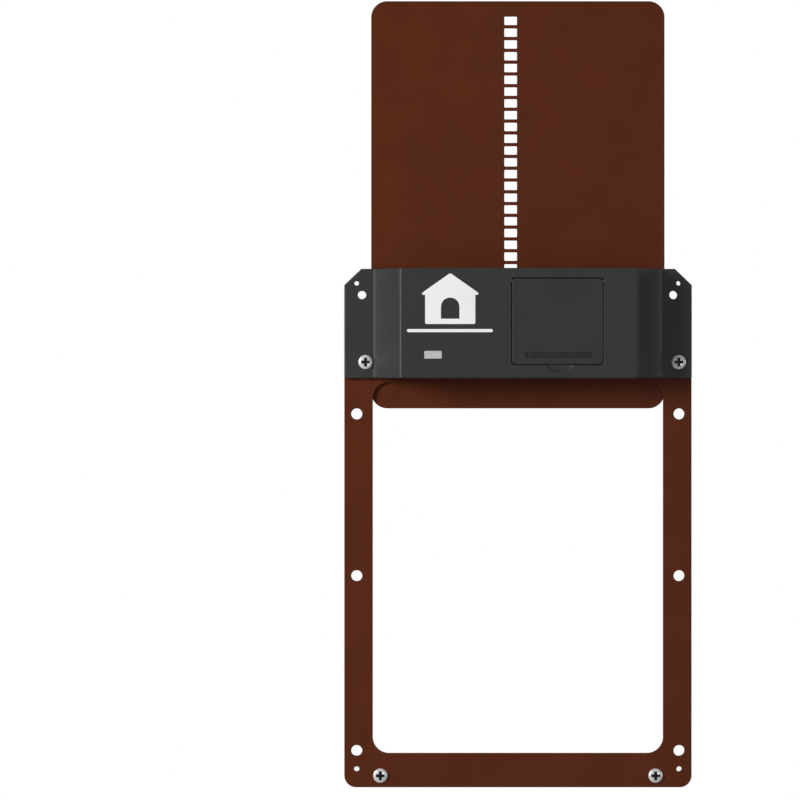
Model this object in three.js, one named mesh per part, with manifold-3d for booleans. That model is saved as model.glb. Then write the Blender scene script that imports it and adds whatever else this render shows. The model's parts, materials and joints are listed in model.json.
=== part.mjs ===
// Automatic coop door: a sliding door panel behind a sheet frame, driven by a small gearmotor
// whose pinion turns in a ladder of slots in the panel.
// Millimetres. X runs to the right, Y towards the wall and Z up. The wall is the plane Y = 0.
// Heights are counted from the frame's bottom edge, and the outer group moves the origin to the sill rail.
import * as THREE from "three";
import { mergeVertices } from "three/addons/utils/BufferGeometryUtils.js";
import Module from "manifold-3d";

// ---------- driving dimensions ----------
const FRAME = { half: 132.5, top: 395.5, front: -7, back: -5, cornerRadius: 9 };
const CHAMFER = { wide: 13, tall: 12.4 };
const OPENING = { half: 110.7, bottom: 26.2, top: 309, radius: 12.3 };
const FIXING = { x: 123, radius: 4.2, heights: [28, 161.4, 284.9], smallRadius: 2, smallHeight: 13.9 };
const DOOR = { half: 112, bottom: 289.1, top: 600, front: -4.5, back: -3, cornerRadius: 12.3 };
const SLOT = { x: -5.5, wide: 9.6, tall: 6.4, pitch: 9, count: 30, first: 324 };
const PINION_WINDOW = { left: -11.4, bottom: 314.6, right: 0.4, top: 333.4 };
const RAIL = { outer: 131, lip: 110.9, shoulder: 112.6, front: -5, lipFront: -2.6, bottom: 1, top: 395 };
const BACK_PLATE = { front: -1.9, padInner: 50, padOuter: 90 };
const SILL = { bottom: 1.9, top: 25.1 };
const SILL_SCREW = { x: 105, z: 8.9 };
const CASING = {
  bottom: 312,
  back: -8,
  earFront: -11.5,
  front: -41.5,
  foot: 110,
  head: 90,
  wall: 2.2,
  floor: 1.6,
  innerFoot: 107.8,
  innerHead: 88.6,
  innerEar: -11.2,
};
const EAR_SCREWS = [{ x: -116.2, z: 324.4 }, { x: 122.4, z: 324.4 }];
const EAR_HOLES = [
  { x: -123, z: 384.5, radius: 1.75 },
  { x: 122.4, z: 384.5, radius: 1.75 },
  { x: -119, z: 375.6, radius: 3.2 },
  { x: 118.5, z: 375.6, radius: 3.2 },
];
const FLAP = { left: -5.7, right: 64.1, bottom: 322, top: 388, gap: 0.5, thick: 2, hingeY: -40, hingeZ: 386 };
const HINGE = { left: -8.4, right: 66.8, bore: 0.9, pin: 0.7, recess: 384, recessBack: -38 };
const GRIP = { left: 4.7, right: 54.9, bottom: 327.5, top: 331.5, deep: 0.8 };
const SCOOP = { x: 31.2, half: 10, deep: 1.4, tall: 5.8 };
const LIP = { left: -2.5, right: 60.9, bottom: 325.5, top: 384.7, front: -38.8, back: -36.8 };
const PAD = { bottom: 318.5, top: 391.5 };
const SHELF = { back: -20, bottom: 349.5, top: 351.8 };
const WINDOW = { left: -71.8, right: -58.1, bottom: 326.5, top: 332.9, back: -38.5, flange: 1.4 };
const SENSOR = { x: -65, z: 329.7, radius: 2.5, front: -38 };
const BOARD = { left: -84, right: -14, bottom: 322, top: 388, front: -27, back: -25.4 };
const BOARD_SCREWS = [[-80, 384], [-18, 326]];
const PANEL = { left: -9, right: 67.4, bottom: 319.5, top: 348.5, front: -34.5, back: -33 };
const PANEL_SCREWS = { xs: [-5.8, 64.2], z: 334 };
const PANEL_FEET = { lefts: [4, 53], wide: 3, bottom: 342.6, top: 345.6 };
const CONTROL = { left: 2, right: 58, bottom: 327, top: 347, front: -27.5, back: -26, z: 337 };
const BUTTONS = [["button_open", 10], ["button_close", 24], ["button_set", 38]];
const BUTTON = { radius: 3.4, flange: 4.4, front: -36.2, flangeFront: -32.8, flangeBack: -31.6, back: -31.4 };
const TACT = { half: 3, front: -30.3 };
const SWITCH = { x: 49.3, knobHalf: 2.3, flangeHalf: 4.8, flangeBottom: 332.6, flangeTop: 341.4 };
const SWITCH_BODY = { left: 44.6, right: 57.8, front: -31.4, bottom: 333, top: 341 };
const HOLDER = { left: 1.5, right: 59, bottom: 352, top: 383, front: -38.5, back: -8.3, end: 1.5, web: 0.7 };
const CELL = { radius: 7.1, left: 6.5, right: 55.7, nub: 1.3, nubRadius: 2.7, low: 360.25, high: 374.75 };
const PINION = { teeth: 6, root: 5.2, rootHalf: 3.1, tipHalf: 1.6, tip: 9.8, left: -9.7, right: -1.2 };
const SHAFT = { radius: 1.5, left: -15.5, right: 4.8 };
const GEARBOX = { left: -22, right: -13, halfDeep: 5, halfTall: 6 };
const MOTOR = { left: -37.4, right: -22.1, radius: 6, flat: 5, capLeft: -39.4, capRadius: 4.6 };
const BRACKET = { left: -24, web: -12.9, right: -11.7, front: -6.5, foot: 12, top: 22, thick: 1.5 };
const BEARING = { left: 0.8, right: 4.6, halfDeep: 4.2, halfTall: 4.4, footRight: 8, footTop: 14 };
const BRACKET_SCREWS = [[-21, 341], [-16.5, 341]];
const BEARING_SCREW = [4.4, 334];
const LEAD_RADIUS = 0.6;
// Radii of the holes round the screws: one that the thread bites in, and one that it passes through.
const PAN_HOLE = { tight: 2, clear: 2.4 };
const SMALL_HOLE = { tight: 1, clear: 1.2 };
const POST = { board: 2.6, panel: 2.8 };
const PITCH_RADIUS = (PINION.teeth * SLOT.pitch) / (2 * Math.PI);
const PINION_Y = (DOOR.front + DOOR.back) / 2 - PITCH_RADIUS;

// ---------- materials ----------
const finish = (color, roughness, metalness) =>
  new THREE.MeshStandardMaterial({ color, roughness, metalness });
const PAINT = finish(0x54281a, 0.5, 0.2);
const CASE_PLASTIC = finish(0x393939, 0.55, 0);
const BLACK_PLASTIC = finish(0x1c1c1d, 0.6, 0);
const WINDOW_PLASTIC = finish(0xb2b0b0, 0.35, 0);
const NYLON = finish(0xe4e1d6, 0.45, 0);
const RUBBER = finish(0x161616, 0.9, 0);
const CHROME = finish(0xc9ccd0, 0.2, 1);
const STEEL = finish(0x9b9ea2, 0.35, 1);
const BRASS = finish(0xb89a5a, 0.35, 1);
const BOARD_GREEN = finish(0x1d5a35, 0.5, 0);
const CELL_SKIN = finish(0x2f3338, 0.3, 0.3);
const RED_PVC = finish(0xa01c18, 0.5, 0);
const BLACK_PVC = finish(0x151515, 0.5, 0);

// ---------- outlines: closed lists of points ----------
function arc(x, y, radius, from, to, steps) {
  return Array.from({ length: steps + 1 }, (_, i) => {
    const angle = from + ((to - from) * i) / steps;
    return new THREE.Vector2(x + radius * Math.cos(angle), y + radius * Math.sin(angle));
  });
}

const circle = (x, y, radius, steps = 16) => arc(x, y, radius, 0, 2 * Math.PI, steps).slice(0, -1);
const polygon = (...points) => points.map(([x, y]) => new THREE.Vector2(x, y));
const rectangle = (left, bottom, right, top) =>
  polygon([left, bottom], [right, bottom], [right, top], [left, top]);

function rounded(left, bottom, right, top, radius, steps = 4) {
  const quarter = Math.PI / 2;
  return [
    ...arc(right - radius, bottom + radius, radius, -quarter, 0, steps),
    ...arc(right - radius, top - radius, radius, 0, quarter, steps),
    ...arc(left + radius, top - radius, radius, quarter, 2 * quarter, steps),
    ...arc(left + radius, bottom + radius, radius, 2 * quarter, 3 * quarter, steps),
  ];
}

// ---------- prisms: an outline and its holes, drawn out along one axis ----------
function prism(outline, holes, length) {
  const shape = new THREE.Shape(outline);
  shape.holes = holes.map((hole) => new THREE.Path(hole));
  return new THREE.ExtrudeGeometry(shape, { depth: length, bevelEnabled: false });
}

// Outline in (x, z), from the front face to the back face.
const plate = (outline, holes, front, back) =>
  prism(outline, holes, back - front).rotateX(Math.PI / 2).translate(0, back, 0);

// Outline in (x, y), from bottom to top.
const column = (outline, holes, bottom, top) =>
  prism(outline, holes, top - bottom).translate(0, 0, bottom);

// Outline in (y, z), from left to right.
function beam(outline, holes, left, right) {
  const turn = new THREE.Matrix4().set(0, 0, 1, 0, 1, 0, 0, 0, 0, 1, 0, 0, 0, 0, 0, 1);
  return prism(outline, holes, right - left).applyMatrix4(turn).translate(left, 0, 0);
}

const block = (left, right, front, back, bottom, top) =>
  new THREE.BoxGeometry(right - left, back - front, top - bottom).translate(
    (left + right) / 2,
    (front + back) / 2,
    (bottom + top) / 2,
  );
const rodY = (x, z, radius, front, back, steps) => plate(circle(x, z, radius, steps), [], front, back);
const rodX = (y, z, radius, left, right, steps) => beam(circle(y, z, radius, steps), [], left, right);

// ---------- joining and cutting ----------
const wasm = await Module();
wasm.setup();

function solid(geometry) {
  const bare = geometry.clone();
  bare.deleteAttribute("normal");
  bare.deleteAttribute("uv");
  const merged = mergeVertices(bare, 1e-4);
  const vertProperties = merged.attributes.position.array;
  const triVerts = new Uint32Array(merged.index.array);
  return new wasm.Manifold(new wasm.Mesh({ numProp: 3, vertProperties, triVerts }));
}

function carve(base, { add = [], cut = [], keep = [] }) {
  let made = solid(base);
  add.forEach((piece) => (made = made.add(solid(piece))));
  cut.forEach((piece) => (made = made.subtract(solid(piece))));
  keep.forEach((piece) => (made = made.intersect(solid(piece))));
  const mesh = made.getMesh();
  const geometry = new THREE.BufferGeometry();
  geometry.setAttribute("position", new THREE.BufferAttribute(mesh.vertProperties, 3));
  geometry.setIndex(new THREE.BufferAttribute(mesh.triVerts, 1));
  geometry.computeVertexNormals();
  return geometry;
}

// ---------- assembly ----------
const root = new THREE.Group();
root.name = "automatic_coop_door";
root.position.z = -(SILL.bottom + SILL.top) / 2;
const frameUnit = new THREE.Group();
const casingUnit = new THREE.Group();
const driveUnit = new THREE.Group();
driveUnit.position.set(0, PINION_Y, SLOT.first);
root.add(frameUnit, casingUnit, driveUnit);

function place(parent, name, geometry, material) {
  const mesh = new THREE.Mesh(geometry, material);
  mesh.name = name;
  parent.add(mesh);
  return mesh;
}

const PAN_SCREW = { head: 5.6, rise: 2.4, shank: 1.8 };
const BOARD_SCREW = { head: 2, rise: 1.3, shank: 0.8, length: 6 };
const PANEL_SCREW = { head: 1.9, rise: 1.2, shank: 0.8, length: 4.5 };
const DRIVE_SCREW = { head: 1.9, rise: 1.2, shank: 0.9, length: 3.2 };

// A pan-head screw along +Y: the head's seat is at its local Y = 0.
function screw(parent, name, position, { head, rise, shank, length }, material) {
  const profile = polygon(
    [0, -rise],
    [head * 0.62, -rise * 0.88],
    [head * 0.92, -rise * 0.5],
    [head, -rise * 0.2],
    [head, 0],
    [shank, 0],
    [shank, length - shank],
    [0, length],
  );
  const mesh = place(parent, name, new THREE.LatheGeometry(profile, 16), material);
  mesh.position.set(...position);
  return mesh;
}

// ---------- frame: sheet, guide rails, sill rail and back plate ----------
// A closed outline from its lower points, with both top corners cut off.
function chamferedTop(bottomCorners, half, top) {
  return [
    ...bottomCorners,
    ...polygon(
      [half, top - CHAMFER.tall],
      [half - CHAMFER.wide, top],
      [-half + CHAMFER.wide, top],
      [-half, top - CHAMFER.tall],
    ),
  ];
}

// The frame's outline, drawn in by an inset on every side.
function frameOutline(inset) {
  const { half, top, cornerRadius } = FRAME;
  const centre = half - cornerRadius;
  const radius = cornerRadius - inset;
  const feet = [
    ...arc(-centre, cornerRadius, radius, Math.PI, 1.5 * Math.PI, 5),
    ...arc(centre, cornerRadius, radius, -Math.PI / 2, 0, 5),
  ];
  return chamferedTop(feet, half - inset, top - inset);
}

function buildFrame() {
  const fixings = [-FIXING.x, FIXING.x].flatMap((x) => [
    ...FIXING.heights.map((z) => circle(x, z, FIXING.radius)),
    circle(x, FIXING.smallHeight, FIXING.smallRadius, 12),
  ]);
  const sheetHoles = [
    rounded(-OPENING.half, OPENING.bottom, OPENING.half, OPENING.top, OPENING.radius, 5),
    rectangle(PINION_WINDOW.left, PINION_WINDOW.bottom, PINION_WINDOW.right, PINION_WINDOW.top),
    ...fixings,
    ...[-SILL_SCREW.x, SILL_SCREW.x].map((x) => circle(x, SILL_SCREW.z, PAN_HOLE.clear, 12)),
    ...EAR_SCREWS.map(({ x, z }) => circle(x, z, PAN_HOLE.tight, 12)),
    ...EAR_HOLES.map(({ x, z, radius }) => circle(x, z, radius, 12)),
    ...[...BRACKET_SCREWS, BEARING_SCREW].map(([x, z]) => circle(x, z, SMALL_HOLE.clear, 8)),
  ];
  const sheet = plate(frameOutline(0), sheetHoles, FRAME.front, FRAME.back);
  place(frameUnit, "front_frame", sheet, PAINT);

  for (const [name, side] of [["guide_rail_left", -1], ["guide_rail_right", 1]]) {
    const section = polygon(
      [side * RAIL.outer, RAIL.front],
      [side * RAIL.outer, 0],
      [side * RAIL.lip, 0],
      [side * RAIL.lip, RAIL.lipFront],
      [side * RAIL.shoulder, RAIL.lipFront],
      [side * RAIL.shoulder, RAIL.front],
    );
    const through = (x, z, radius) => rodY(x, z, radius, RAIL.front - 1, 1, 12);
    const earScrew = EAR_SCREWS[side < 0 ? 0 : 1];
    const cut = [
      ...FIXING.heights.map((z) => through(side * FIXING.x, z, FIXING.radius)),
      through(side * FIXING.x, FIXING.smallHeight, FIXING.smallRadius),
      ...EAR_HOLES.filter(({ x }) => x * side > 0).map(({ x, z, radius }) => through(x, z, radius)),
      through(earScrew.x, earScrew.z, PAN_HOLE.tight),
    ];
    const rail = carve(column(section, [], RAIL.bottom, RAIL.top), {
      cut,
      keep: [plate(frameOutline(0.5), [], RAIL.front - 1, 1)],
    });
    place(frameUnit, name, rail, BLACK_PLASTIC);
  }

  const sillHoles = [-SILL_SCREW.x, SILL_SCREW.x].map((x) => circle(x, SILL_SCREW.z, PAN_HOLE.tight, 12));
  const sill = plate(rectangle(-RAIL.lip, SILL.bottom, RAIL.lip, SILL.top), sillHoles, RAIL.front, 0);
  place(frameUnit, "sill_rail", sill, BLACK_PLASTIC);

  // Two raised pads keep the door panel off the back plate.
  const { front, padInner, padOuter } = BACK_PLATE;
  const backSection = polygon(
    [-RAIL.lip, 0],
    [-RAIL.lip, front],
    [-padOuter, front],
    [-padOuter, RAIL.lipFront],
    [-padInner, RAIL.lipFront],
    [-padInner, front],
    [padInner, front],
    [padInner, RAIL.lipFront],
    [padOuter, RAIL.lipFront],
    [padOuter, front],
    [RAIL.lip, front],
    [RAIL.lip, 0],
  );
  place(frameUnit, "back_plate", column(backSection, [], CASING.bottom, RAIL.top), BLACK_PLASTIC);

  for (const [name, x] of [["screw_sill_left", -SILL_SCREW.x], ["screw_sill_right", SILL_SCREW.x]]) {
    const seat = [x, FRAME.front, SILL_SCREW.z];
    screw(frameUnit, name, seat, { ...PAN_SCREW, head: 5.5, length: 6 }, CHROME);
  }
}

// ---------- the sliding door panel with its ladder of slots ----------
function buildDoor() {
  const slots = Array.from({ length: SLOT.count }, (_, i) => {
    const z = SLOT.first + i * SLOT.pitch;
    const halfWide = SLOT.wide / 2;
    const halfTall = SLOT.tall / 2;
    return rectangle(SLOT.x - halfWide, z - halfTall, SLOT.x + halfWide, z + halfTall);
  });
  const outline = rounded(-DOOR.half, DOOR.bottom, DOOR.half, DOOR.top, DOOR.cornerRadius, 5);
  place(root, "door_panel", plate(outline, slots, DOOR.front, DOOR.back), PAINT);
}

// ---------- casing: shell, gasket, light window and ear screws ----------
// What the chamfer takes off one top corner of the casing's ears.
function chamferCutter(side) {
  const { half, top } = FRAME;
  const corner = polygon(
    [side * (half + CHAMFER.wide), top - 2 * CHAMFER.tall],
    [side * (half - 2 * CHAMFER.wide), top + CHAMFER.tall],
    [side * (half + CHAMFER.wide), top + CHAMFER.tall],
  );
  return plate(corner, [], CASING.front - 10, 10);
}

function casingShell() {
  const { bottom, back, earFront, front, foot, head, wall, floor } = CASING;
  const { innerFoot, innerHead, innerEar } = CASING;
  const { half, top } = FRAME;
  const outer = polygon(
    [-half, back],
    [-half, earFront],
    [-foot, earFront],
    [-head, front],
    [head, front],
    [foot, earFront],
    [half, earFront],
    [half, back],
  );
  const inner = polygon(
    [-innerFoot, back + 1],
    [-innerFoot, innerEar],
    [-innerHead, front + wall],
    [innerHead, front + wall],
    [innerFoot, innerEar],
    [innerFoot, back + 1],
  );
  const hollow = column(inner, [], bottom + floor, top - wall);
  return carve(column(outer, [], bottom, top), { cut: [hollow, chamferCutter(-1), chamferCutter(1)] });
}

function buildCasing() {
  const { bottom, back, earFront, front, wall } = CASING;
  const { half, top } = FRAME;
  const inside = front + wall - 0.2;
  const add = [
    block(PANEL.left, PANEL.right, inside, LIP.back, PAD.bottom, PAD.top),
    block(PANEL.left, PANEL.right, LIP.back - 0.7, SHELF.back, SHELF.bottom, SHELF.top),
    ...BOARD_SCREWS.map(([x, z]) => rodY(x, z, POST.board, inside, BOARD.front, 12)),
    ...PANEL_SCREWS.xs.map((x) => rodY(x, PANEL_SCREWS.z, POST.panel, LIP.back - 0.2, PANEL.front, 12)),
  ];

  const ahead = front - 8;
  const pilot = SMALL_HOLE.tight;
  const scoop = new THREE.SphereGeometry(1, 16, 8)
    .scale(SCOOP.half, SCOOP.deep, SCOOP.tall)
    .translate(SCOOP.x, front, FLAP.bottom);
  const cut = [
    block(FLAP.left, FLAP.right, ahead, LIP.front, FLAP.bottom, FLAP.top),
    block(FLAP.left, FLAP.right, ahead, HINGE.recessBack, HINGE.recess, FLAP.top),
    block(LIP.left, LIP.right, ahead, LIP.back + 1, LIP.bottom, LIP.top),
    rodX(FLAP.hingeY, FLAP.hingeZ, HINGE.bore, HINGE.left, HINGE.right, 12),
    block(WINDOW.left, WINDOW.right, ahead, front + wall + 1, WINDOW.bottom, WINDOW.top),
    ...EAR_SCREWS.map(({ x, z }) => rodY(x, z, PAN_HOLE.clear, ahead, 0, 12)),
    ...EAR_HOLES.map(({ x, z, radius }) => rodY(x, z, radius, ahead, 0, 12)),
    ...BOARD_SCREWS.map(([x, z]) => rodY(x, z, pilot, BOARD.front - 8, BOARD.front + 1, 8)),
    ...PANEL_SCREWS.xs.map((x) => rodY(x, PANEL_SCREWS.z, pilot, PANEL.front - 4, PANEL.front + 1, 8)),
    scoop,
  ];
  place(casingUnit, "casing", carve(casingShell(), { add, cut }), CASE_PLASTIC);

  const gasketHoles = [
    rectangle(-105, PINION_WINDOW.bottom, 105, 391),
    ...EAR_SCREWS.map(({ x, z }) => circle(x, z, PAN_HOLE.clear, 12)),
    ...EAR_HOLES.map(({ x, z, radius }) => circle(x, z, radius, 12)),
  ];
  const gasketHalf = half - 0.6;
  const gasketFoot = polygon([-gasketHalf, bottom + 0.4], [gasketHalf, bottom + 0.4]);
  const gasket = plate(chamferedTop(gasketFoot, gasketHalf, top - 0.6), gasketHoles, back, FRAME.front);
  place(casingUnit, "casing_gasket", gasket, RUBBER);

  const lens = { left: WINDOW.left + 0.2, right: WINDOW.right - 0.2 };
  const { bottom: low, top: high, back: lensBack, flange } = WINDOW;
  const window = carve(block(lens.left, lens.right, front, lensBack, low + 0.2, high - 0.2), {
    add: [
      block(lens.left - flange, lens.right + flange, front + wall, lensBack, low - flange, high + flange),
    ],
  });
  place(casingUnit, "sensor_window", window, WINDOW_PLASTIC);

  ["screw_casing_left", "screw_casing_right"].forEach((name, i) => {
    const { x, z } = EAR_SCREWS[i];
    screw(casingUnit, name, [x, earFront, z], { ...PAN_SCREW, length: 10 }, CHROME);
  });
}

// ---------- flap over the batteries and controls ----------
function buildFlap() {
  const { left, right, bottom, top, gap, thick, hingeY, hingeZ } = FLAP;
  const { front } = CASING;
  const knuckle = hingeY - front;
  const backAngle = -Math.acos((front + thick - hingeY) / knuckle);
  const section = [
    ...polygon([front + thick, bottom + gap], [front, bottom + gap]),
    ...arc(hingeY, hingeZ, knuckle, Math.PI, backAngle, 10),
  ];
  const edge = rounded(left + gap, bottom + gap, right - gap, top - gap, 3, 4);
  const flap = carve(beam(section, [], left + gap, right - gap), {
    cut: [
      rodX(hingeY, hingeZ, HINGE.bore, left - 1, right + 1, 12),
      block(GRIP.left, GRIP.right, front - 1, front + GRIP.deep, GRIP.bottom, GRIP.top),
    ],
    keep: [plate(edge, [], front - 5, front + 9)],
  });
  place(casingUnit, "flap", flap, CASE_PLASTIC);
  const pin = rodX(hingeY, hingeZ, HINGE.pin, HINGE.left + 0.2, HINGE.right - 0.2, 12);
  place(casingUnit, "flap_pin", pin, STEEL);

  const sealTop = HINGE.recess - 0.5;
  const seal = polygon(
    [left + gap, sealTop],
    [left + gap, bottom + gap],
    [right - gap, bottom + gap],
    [right - gap, sealTop],
    [LIP.right, sealTop],
    [LIP.right, LIP.bottom],
    [LIP.left, LIP.bottom],
    [LIP.left, sealTop],
  );
  place(casingUnit, "flap_seal", plate(seal, [], LIP.front - 0.5, LIP.front), RUBBER);
}

// ---------- control panel: buttons, power switch and their board ----------
function buildControls() {
  const screws = PANEL_SCREWS;
  const holes = [
    ...BUTTONS.map(([, x]) => circle(x, CONTROL.z, BUTTON.radius + 0.3)),
    rounded(46.7, 334, 56, 340, 1, 2),
    ...screws.xs.map((x) => circle(x, screws.z, SMALL_HOLE.clear, 12)),
  ];
  const board = rectangle(PANEL.left + 0.4, PANEL.bottom, PANEL.right - 0.4, PANEL.top);
  const { lefts, wide, bottom, top } = PANEL_FEET;
  const panel = carve(plate(board, holes, PANEL.front, PANEL.back), {
    add: lefts.map((x) => block(x, x + wide, PANEL.back - 0.5, CONTROL.front, bottom, top)),
  });
  place(casingUnit, "control_panel", panel, BLACK_PLASTIC);
  const { left: boardLeft, right: boardRight } = CONTROL;
  const card = block(boardLeft, boardRight, CONTROL.front, CONTROL.back, CONTROL.bottom, CONTROL.top);
  place(casingUnit, "control_board", card, BOARD_GREEN);

  for (const [name, x] of BUTTONS) {
    const { z } = CONTROL;
    const cap = carve(rodY(x, z, BUTTON.radius, BUTTON.front, BUTTON.back, 16), {
      add: [rodY(x, z, BUTTON.flange, BUTTON.flangeFront, BUTTON.flangeBack, 16)],
    });
    place(casingUnit, name, cap, RUBBER);
    const { half, front } = TACT;
    const tact = block(x - half, x + half, front, CONTROL.front, z - half, z + half);
    place(casingUnit, name.replace("button", "tact_switch"), tact, BLACK_PLASTIC);
  }

  const { x, knobHalf, flangeHalf, flangeBottom, flangeTop } = SWITCH;
  const knobBack = SWITCH_BODY.front - 0.3;
  const knob = carve(block(x - knobHalf, x + knobHalf, BUTTON.front, knobBack, 334.4, 339.6), {
    add: [block(x - flangeHalf, x + flangeHalf, BUTTON.flangeFront, knobBack, flangeBottom, flangeTop)],
  });
  place(casingUnit, "power_switch_knob", knob, BLACK_PLASTIC);
  const { left, right, front, bottom: bodyBottom, top: bodyTop } = SWITCH_BODY;
  const body = block(left, right, front, CONTROL.front, bodyBottom, bodyTop);
  place(casingUnit, "power_switch_body", body, STEEL);

  ["panel_screw_left", "panel_screw_right"].forEach((label, i) => {
    const mesh = screw(casingUnit, label, [screws.xs[i], PANEL.back, screws.z], PANEL_SCREW, STEEL);
    mesh.rotation.x = Math.PI;
  });
}

// ---------- main board and light sensor ----------
function buildMainBoard() {
  const holes = BOARD_SCREWS.map(([x, z]) => circle(x, z, SMALL_HOLE.clear, 12));
  const outline = rectangle(BOARD.left, BOARD.bottom, BOARD.right, BOARD.top);
  place(casingUnit, "main_board", plate(outline, holes, BOARD.front, BOARD.back), BOARD_GREEN);
  const sensor = rodY(SENSOR.x, SENSOR.z, SENSOR.radius, SENSOR.front, BOARD.front, 12);
  place(casingUnit, "light_sensor", sensor, WINDOW_PLASTIC);
  BOARD_SCREWS.forEach(([x, z], i) => {
    const mesh = screw(casingUnit, `board_screw_${i + 1}`, [x, BOARD.back, z], BOARD_SCREW, STEEL);
    mesh.rotation.x = Math.PI;
  });

  // The ribbon lies on the back of both boards and steps from one to the other.
  const thick = 0.4;
  const ribbon = polygon(
    [-20, BOARD.back],
    [BOARD.right + 0.5, BOARD.back],
    [1.5, CONTROL.back],
    [6, CONTROL.back],
    [6, CONTROL.back + thick],
    [1.7, CONTROL.back + thick],
    [BOARD.right + 0.7, BOARD.back + thick],
    [-20, BOARD.back + thick],
  );
  place(casingUnit, "ribbon_cable", column(ribbon, [], 334, 341), NYLON);
}

// ---------- battery holder, cells and contacts ----------
function buildBatteries() {
  const { left, right, bottom, top, front, back, end, web } = HOLDER;
  const middle = (front + back) / 2;
  const centre = (left + right) / 2;
  const holder = carve(block(left, right, front, back, bottom, top), {
    cut: [
      block(left + end, right - end, front - 1, middle - web, bottom + 1, top - 1),
      block(left + end, right - end, middle + web, back + 1, bottom + 1, top - 1),
    ],
  });
  place(casingUnit, "battery_holder", holder, BLACK_PLASTIC);

  const frontBay = middle - web - 0.1 - CELL.radius;
  const backBay = middle + web + 0.1 + CELL.radius;
  const bays = [
    [frontBay, CELL.low, 1],
    [frontBay, CELL.high, -1],
    [backBay, CELL.low, -1],
    [backBay, CELL.high, 1],
  ];
  bays.forEach(([y, z, way], i) => {
    const bay = new THREE.Group();
    bay.position.set(centre, y, z);
    bay.rotation.z = way > 0 ? 0 : Math.PI;
    casingUnit.add(bay);
    const cellEnd = CELL.right - centre;
    const cell = carve(rodX(0, 0, CELL.radius, CELL.left - centre, cellEnd, 20), {
      add: [rodX(0, 0, CELL.nubRadius, cellEnd - 1, cellEnd + CELL.nub, 12)],
    });
    place(bay, `battery_${i + 1}`, cell, CELL_SKIN);
    const wallGap = end + 0.02;
    const tab = block(cellEnd + CELL.nub + 0.02, right - wallGap - centre, -4, 4, -4, 4);
    place(bay, `contact_plate_${i + 1}`, tab, STEEL);
    const cone = new THREE.LatheGeometry(polygon([0, 0], [3.8, 0], [2.4, 3.4], [0, 3.4]), 12);
    const spring = place(bay, `contact_spring_${i + 1}`, cone.rotateZ(-Math.PI / 2), STEEL);
    spring.position.x = left + wallGap - centre;
  });
}

// ---------- drive: gearmotor, shaft, pinion and bearing, about the pinion's axis ----------
function pinionOutline() {
  const { teeth, root: rootRadius, rootHalf, tipHalf, tip } = PINION;
  const tooth = [
    ...polygon([-rootHalf, rootRadius]),
    ...arc(0, tip - tipHalf, tipHalf, Math.PI, 0, 6),
    ...polygon([rootHalf, rootRadius]),
  ];
  return Array.from({ length: teeth }, (_, i) => {
    const turn = (-2 * Math.PI * i) / teeth - Math.PI / 2;
    return tooth.map((point) => point.clone().rotateAround(new THREE.Vector2(), turn));
  }).flat();
}

function buildMotor() {
  const { left, right, halfDeep, halfTall } = GEARBOX;
  const gearbox = carve(block(left, right, -halfDeep, halfDeep, -halfTall, halfTall), {
    cut: [rodX(0, 0, SHAFT.radius + 0.05, SHAFT.left - 0.5, right + 1, 24)],
  });
  place(driveUnit, "gearbox", gearbox, BRASS);

  // The can is a round tube pressed flat on its front and back.
  const { radius, flat } = MOTOR;
  const spread = Math.asin(flat / radius);
  const quarter = Math.PI / 2;
  const can = [
    ...arc(0, 0, radius, quarter + spread, quarter - spread, 6),
    ...arc(0, 0, radius, spread - quarter, -spread - quarter, 6),
  ];
  place(driveUnit, "motor_can", beam(can, [], MOTOR.left, MOTOR.right), STEEL);
  const cap = rodX(0, 0, MOTOR.capRadius, MOTOR.capLeft, MOTOR.left, 12);
  place(driveUnit, "motor_end_cap", cap, BLACK_PLASTIC);
}

function buildDrive() {
  const sheet = FRAME.front - PINION_Y;
  const bore = circle(0, 0, SHAFT.radius + 0.15);
  place(driveUnit, "pinion", beam(pinionOutline(), [bore], PINION.left, PINION.right), NYLON);
  place(driveUnit, "drive_shaft", rodX(0, 0, SHAFT.radius, SHAFT.left, SHAFT.right, 24), STEEL);

  const { left, web, right, front, foot, top, thick } = BRACKET;
  const screwHole = ([x, z]) => rodY(x, z - SLOT.first, SMALL_HOLE.clear, 0, 10, 8);
  const bracket = carve(block(web, right, front, sheet, front, top), {
    add: [block(left, right, sheet - thick, sheet, foot, top)],
    cut: [rodX(0, 0, 2.4, web - 1, right + 1, 16), ...BRACKET_SCREWS.map(screwHole)],
  });
  place(driveUnit, "motor_bracket", bracket, STEEL);

  const { halfDeep, halfTall, footRight, footTop } = BEARING;
  const bearing = carve(block(BEARING.left, BEARING.right, -halfDeep, sheet, -halfTall, halfTall), {
    add: [block(BEARING.left, footRight, sheet - thick, sheet, halfTall - 0.4, footTop)],
    cut: [rodX(0, 0, SHAFT.radius + 0.07, 0, BEARING.right + 1, 24), screwHole(BEARING_SCREW)],
  });
  place(driveUnit, "shaft_bearing", bearing, BLACK_PLASTIC);

  const names = ["bracket_screw_1", "bracket_screw_2", "bearing_screw"];
  [...BRACKET_SCREWS, BEARING_SCREW].forEach(([x, z], i) =>
    screw(driveUnit, names[i], [x, sheet - thick, z - SLOT.first], DRIVE_SCREW, STEEL),
  );
}

// ---------- leads between the motor, the cells and the main board ----------
function lead(name, points, material) {
  const path = new THREE.CatmullRomCurve3(points.map((point) => new THREE.Vector3(...point)));
  const section = new THREE.Shape(circle(0, 0, LEAD_RADIUS, 8));
  const options = { steps: 10, extrudePath: path, bevelEnabled: false };
  place(casingUnit, name, new THREE.ExtrudeGeometry(section, options), material);
}

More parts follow.
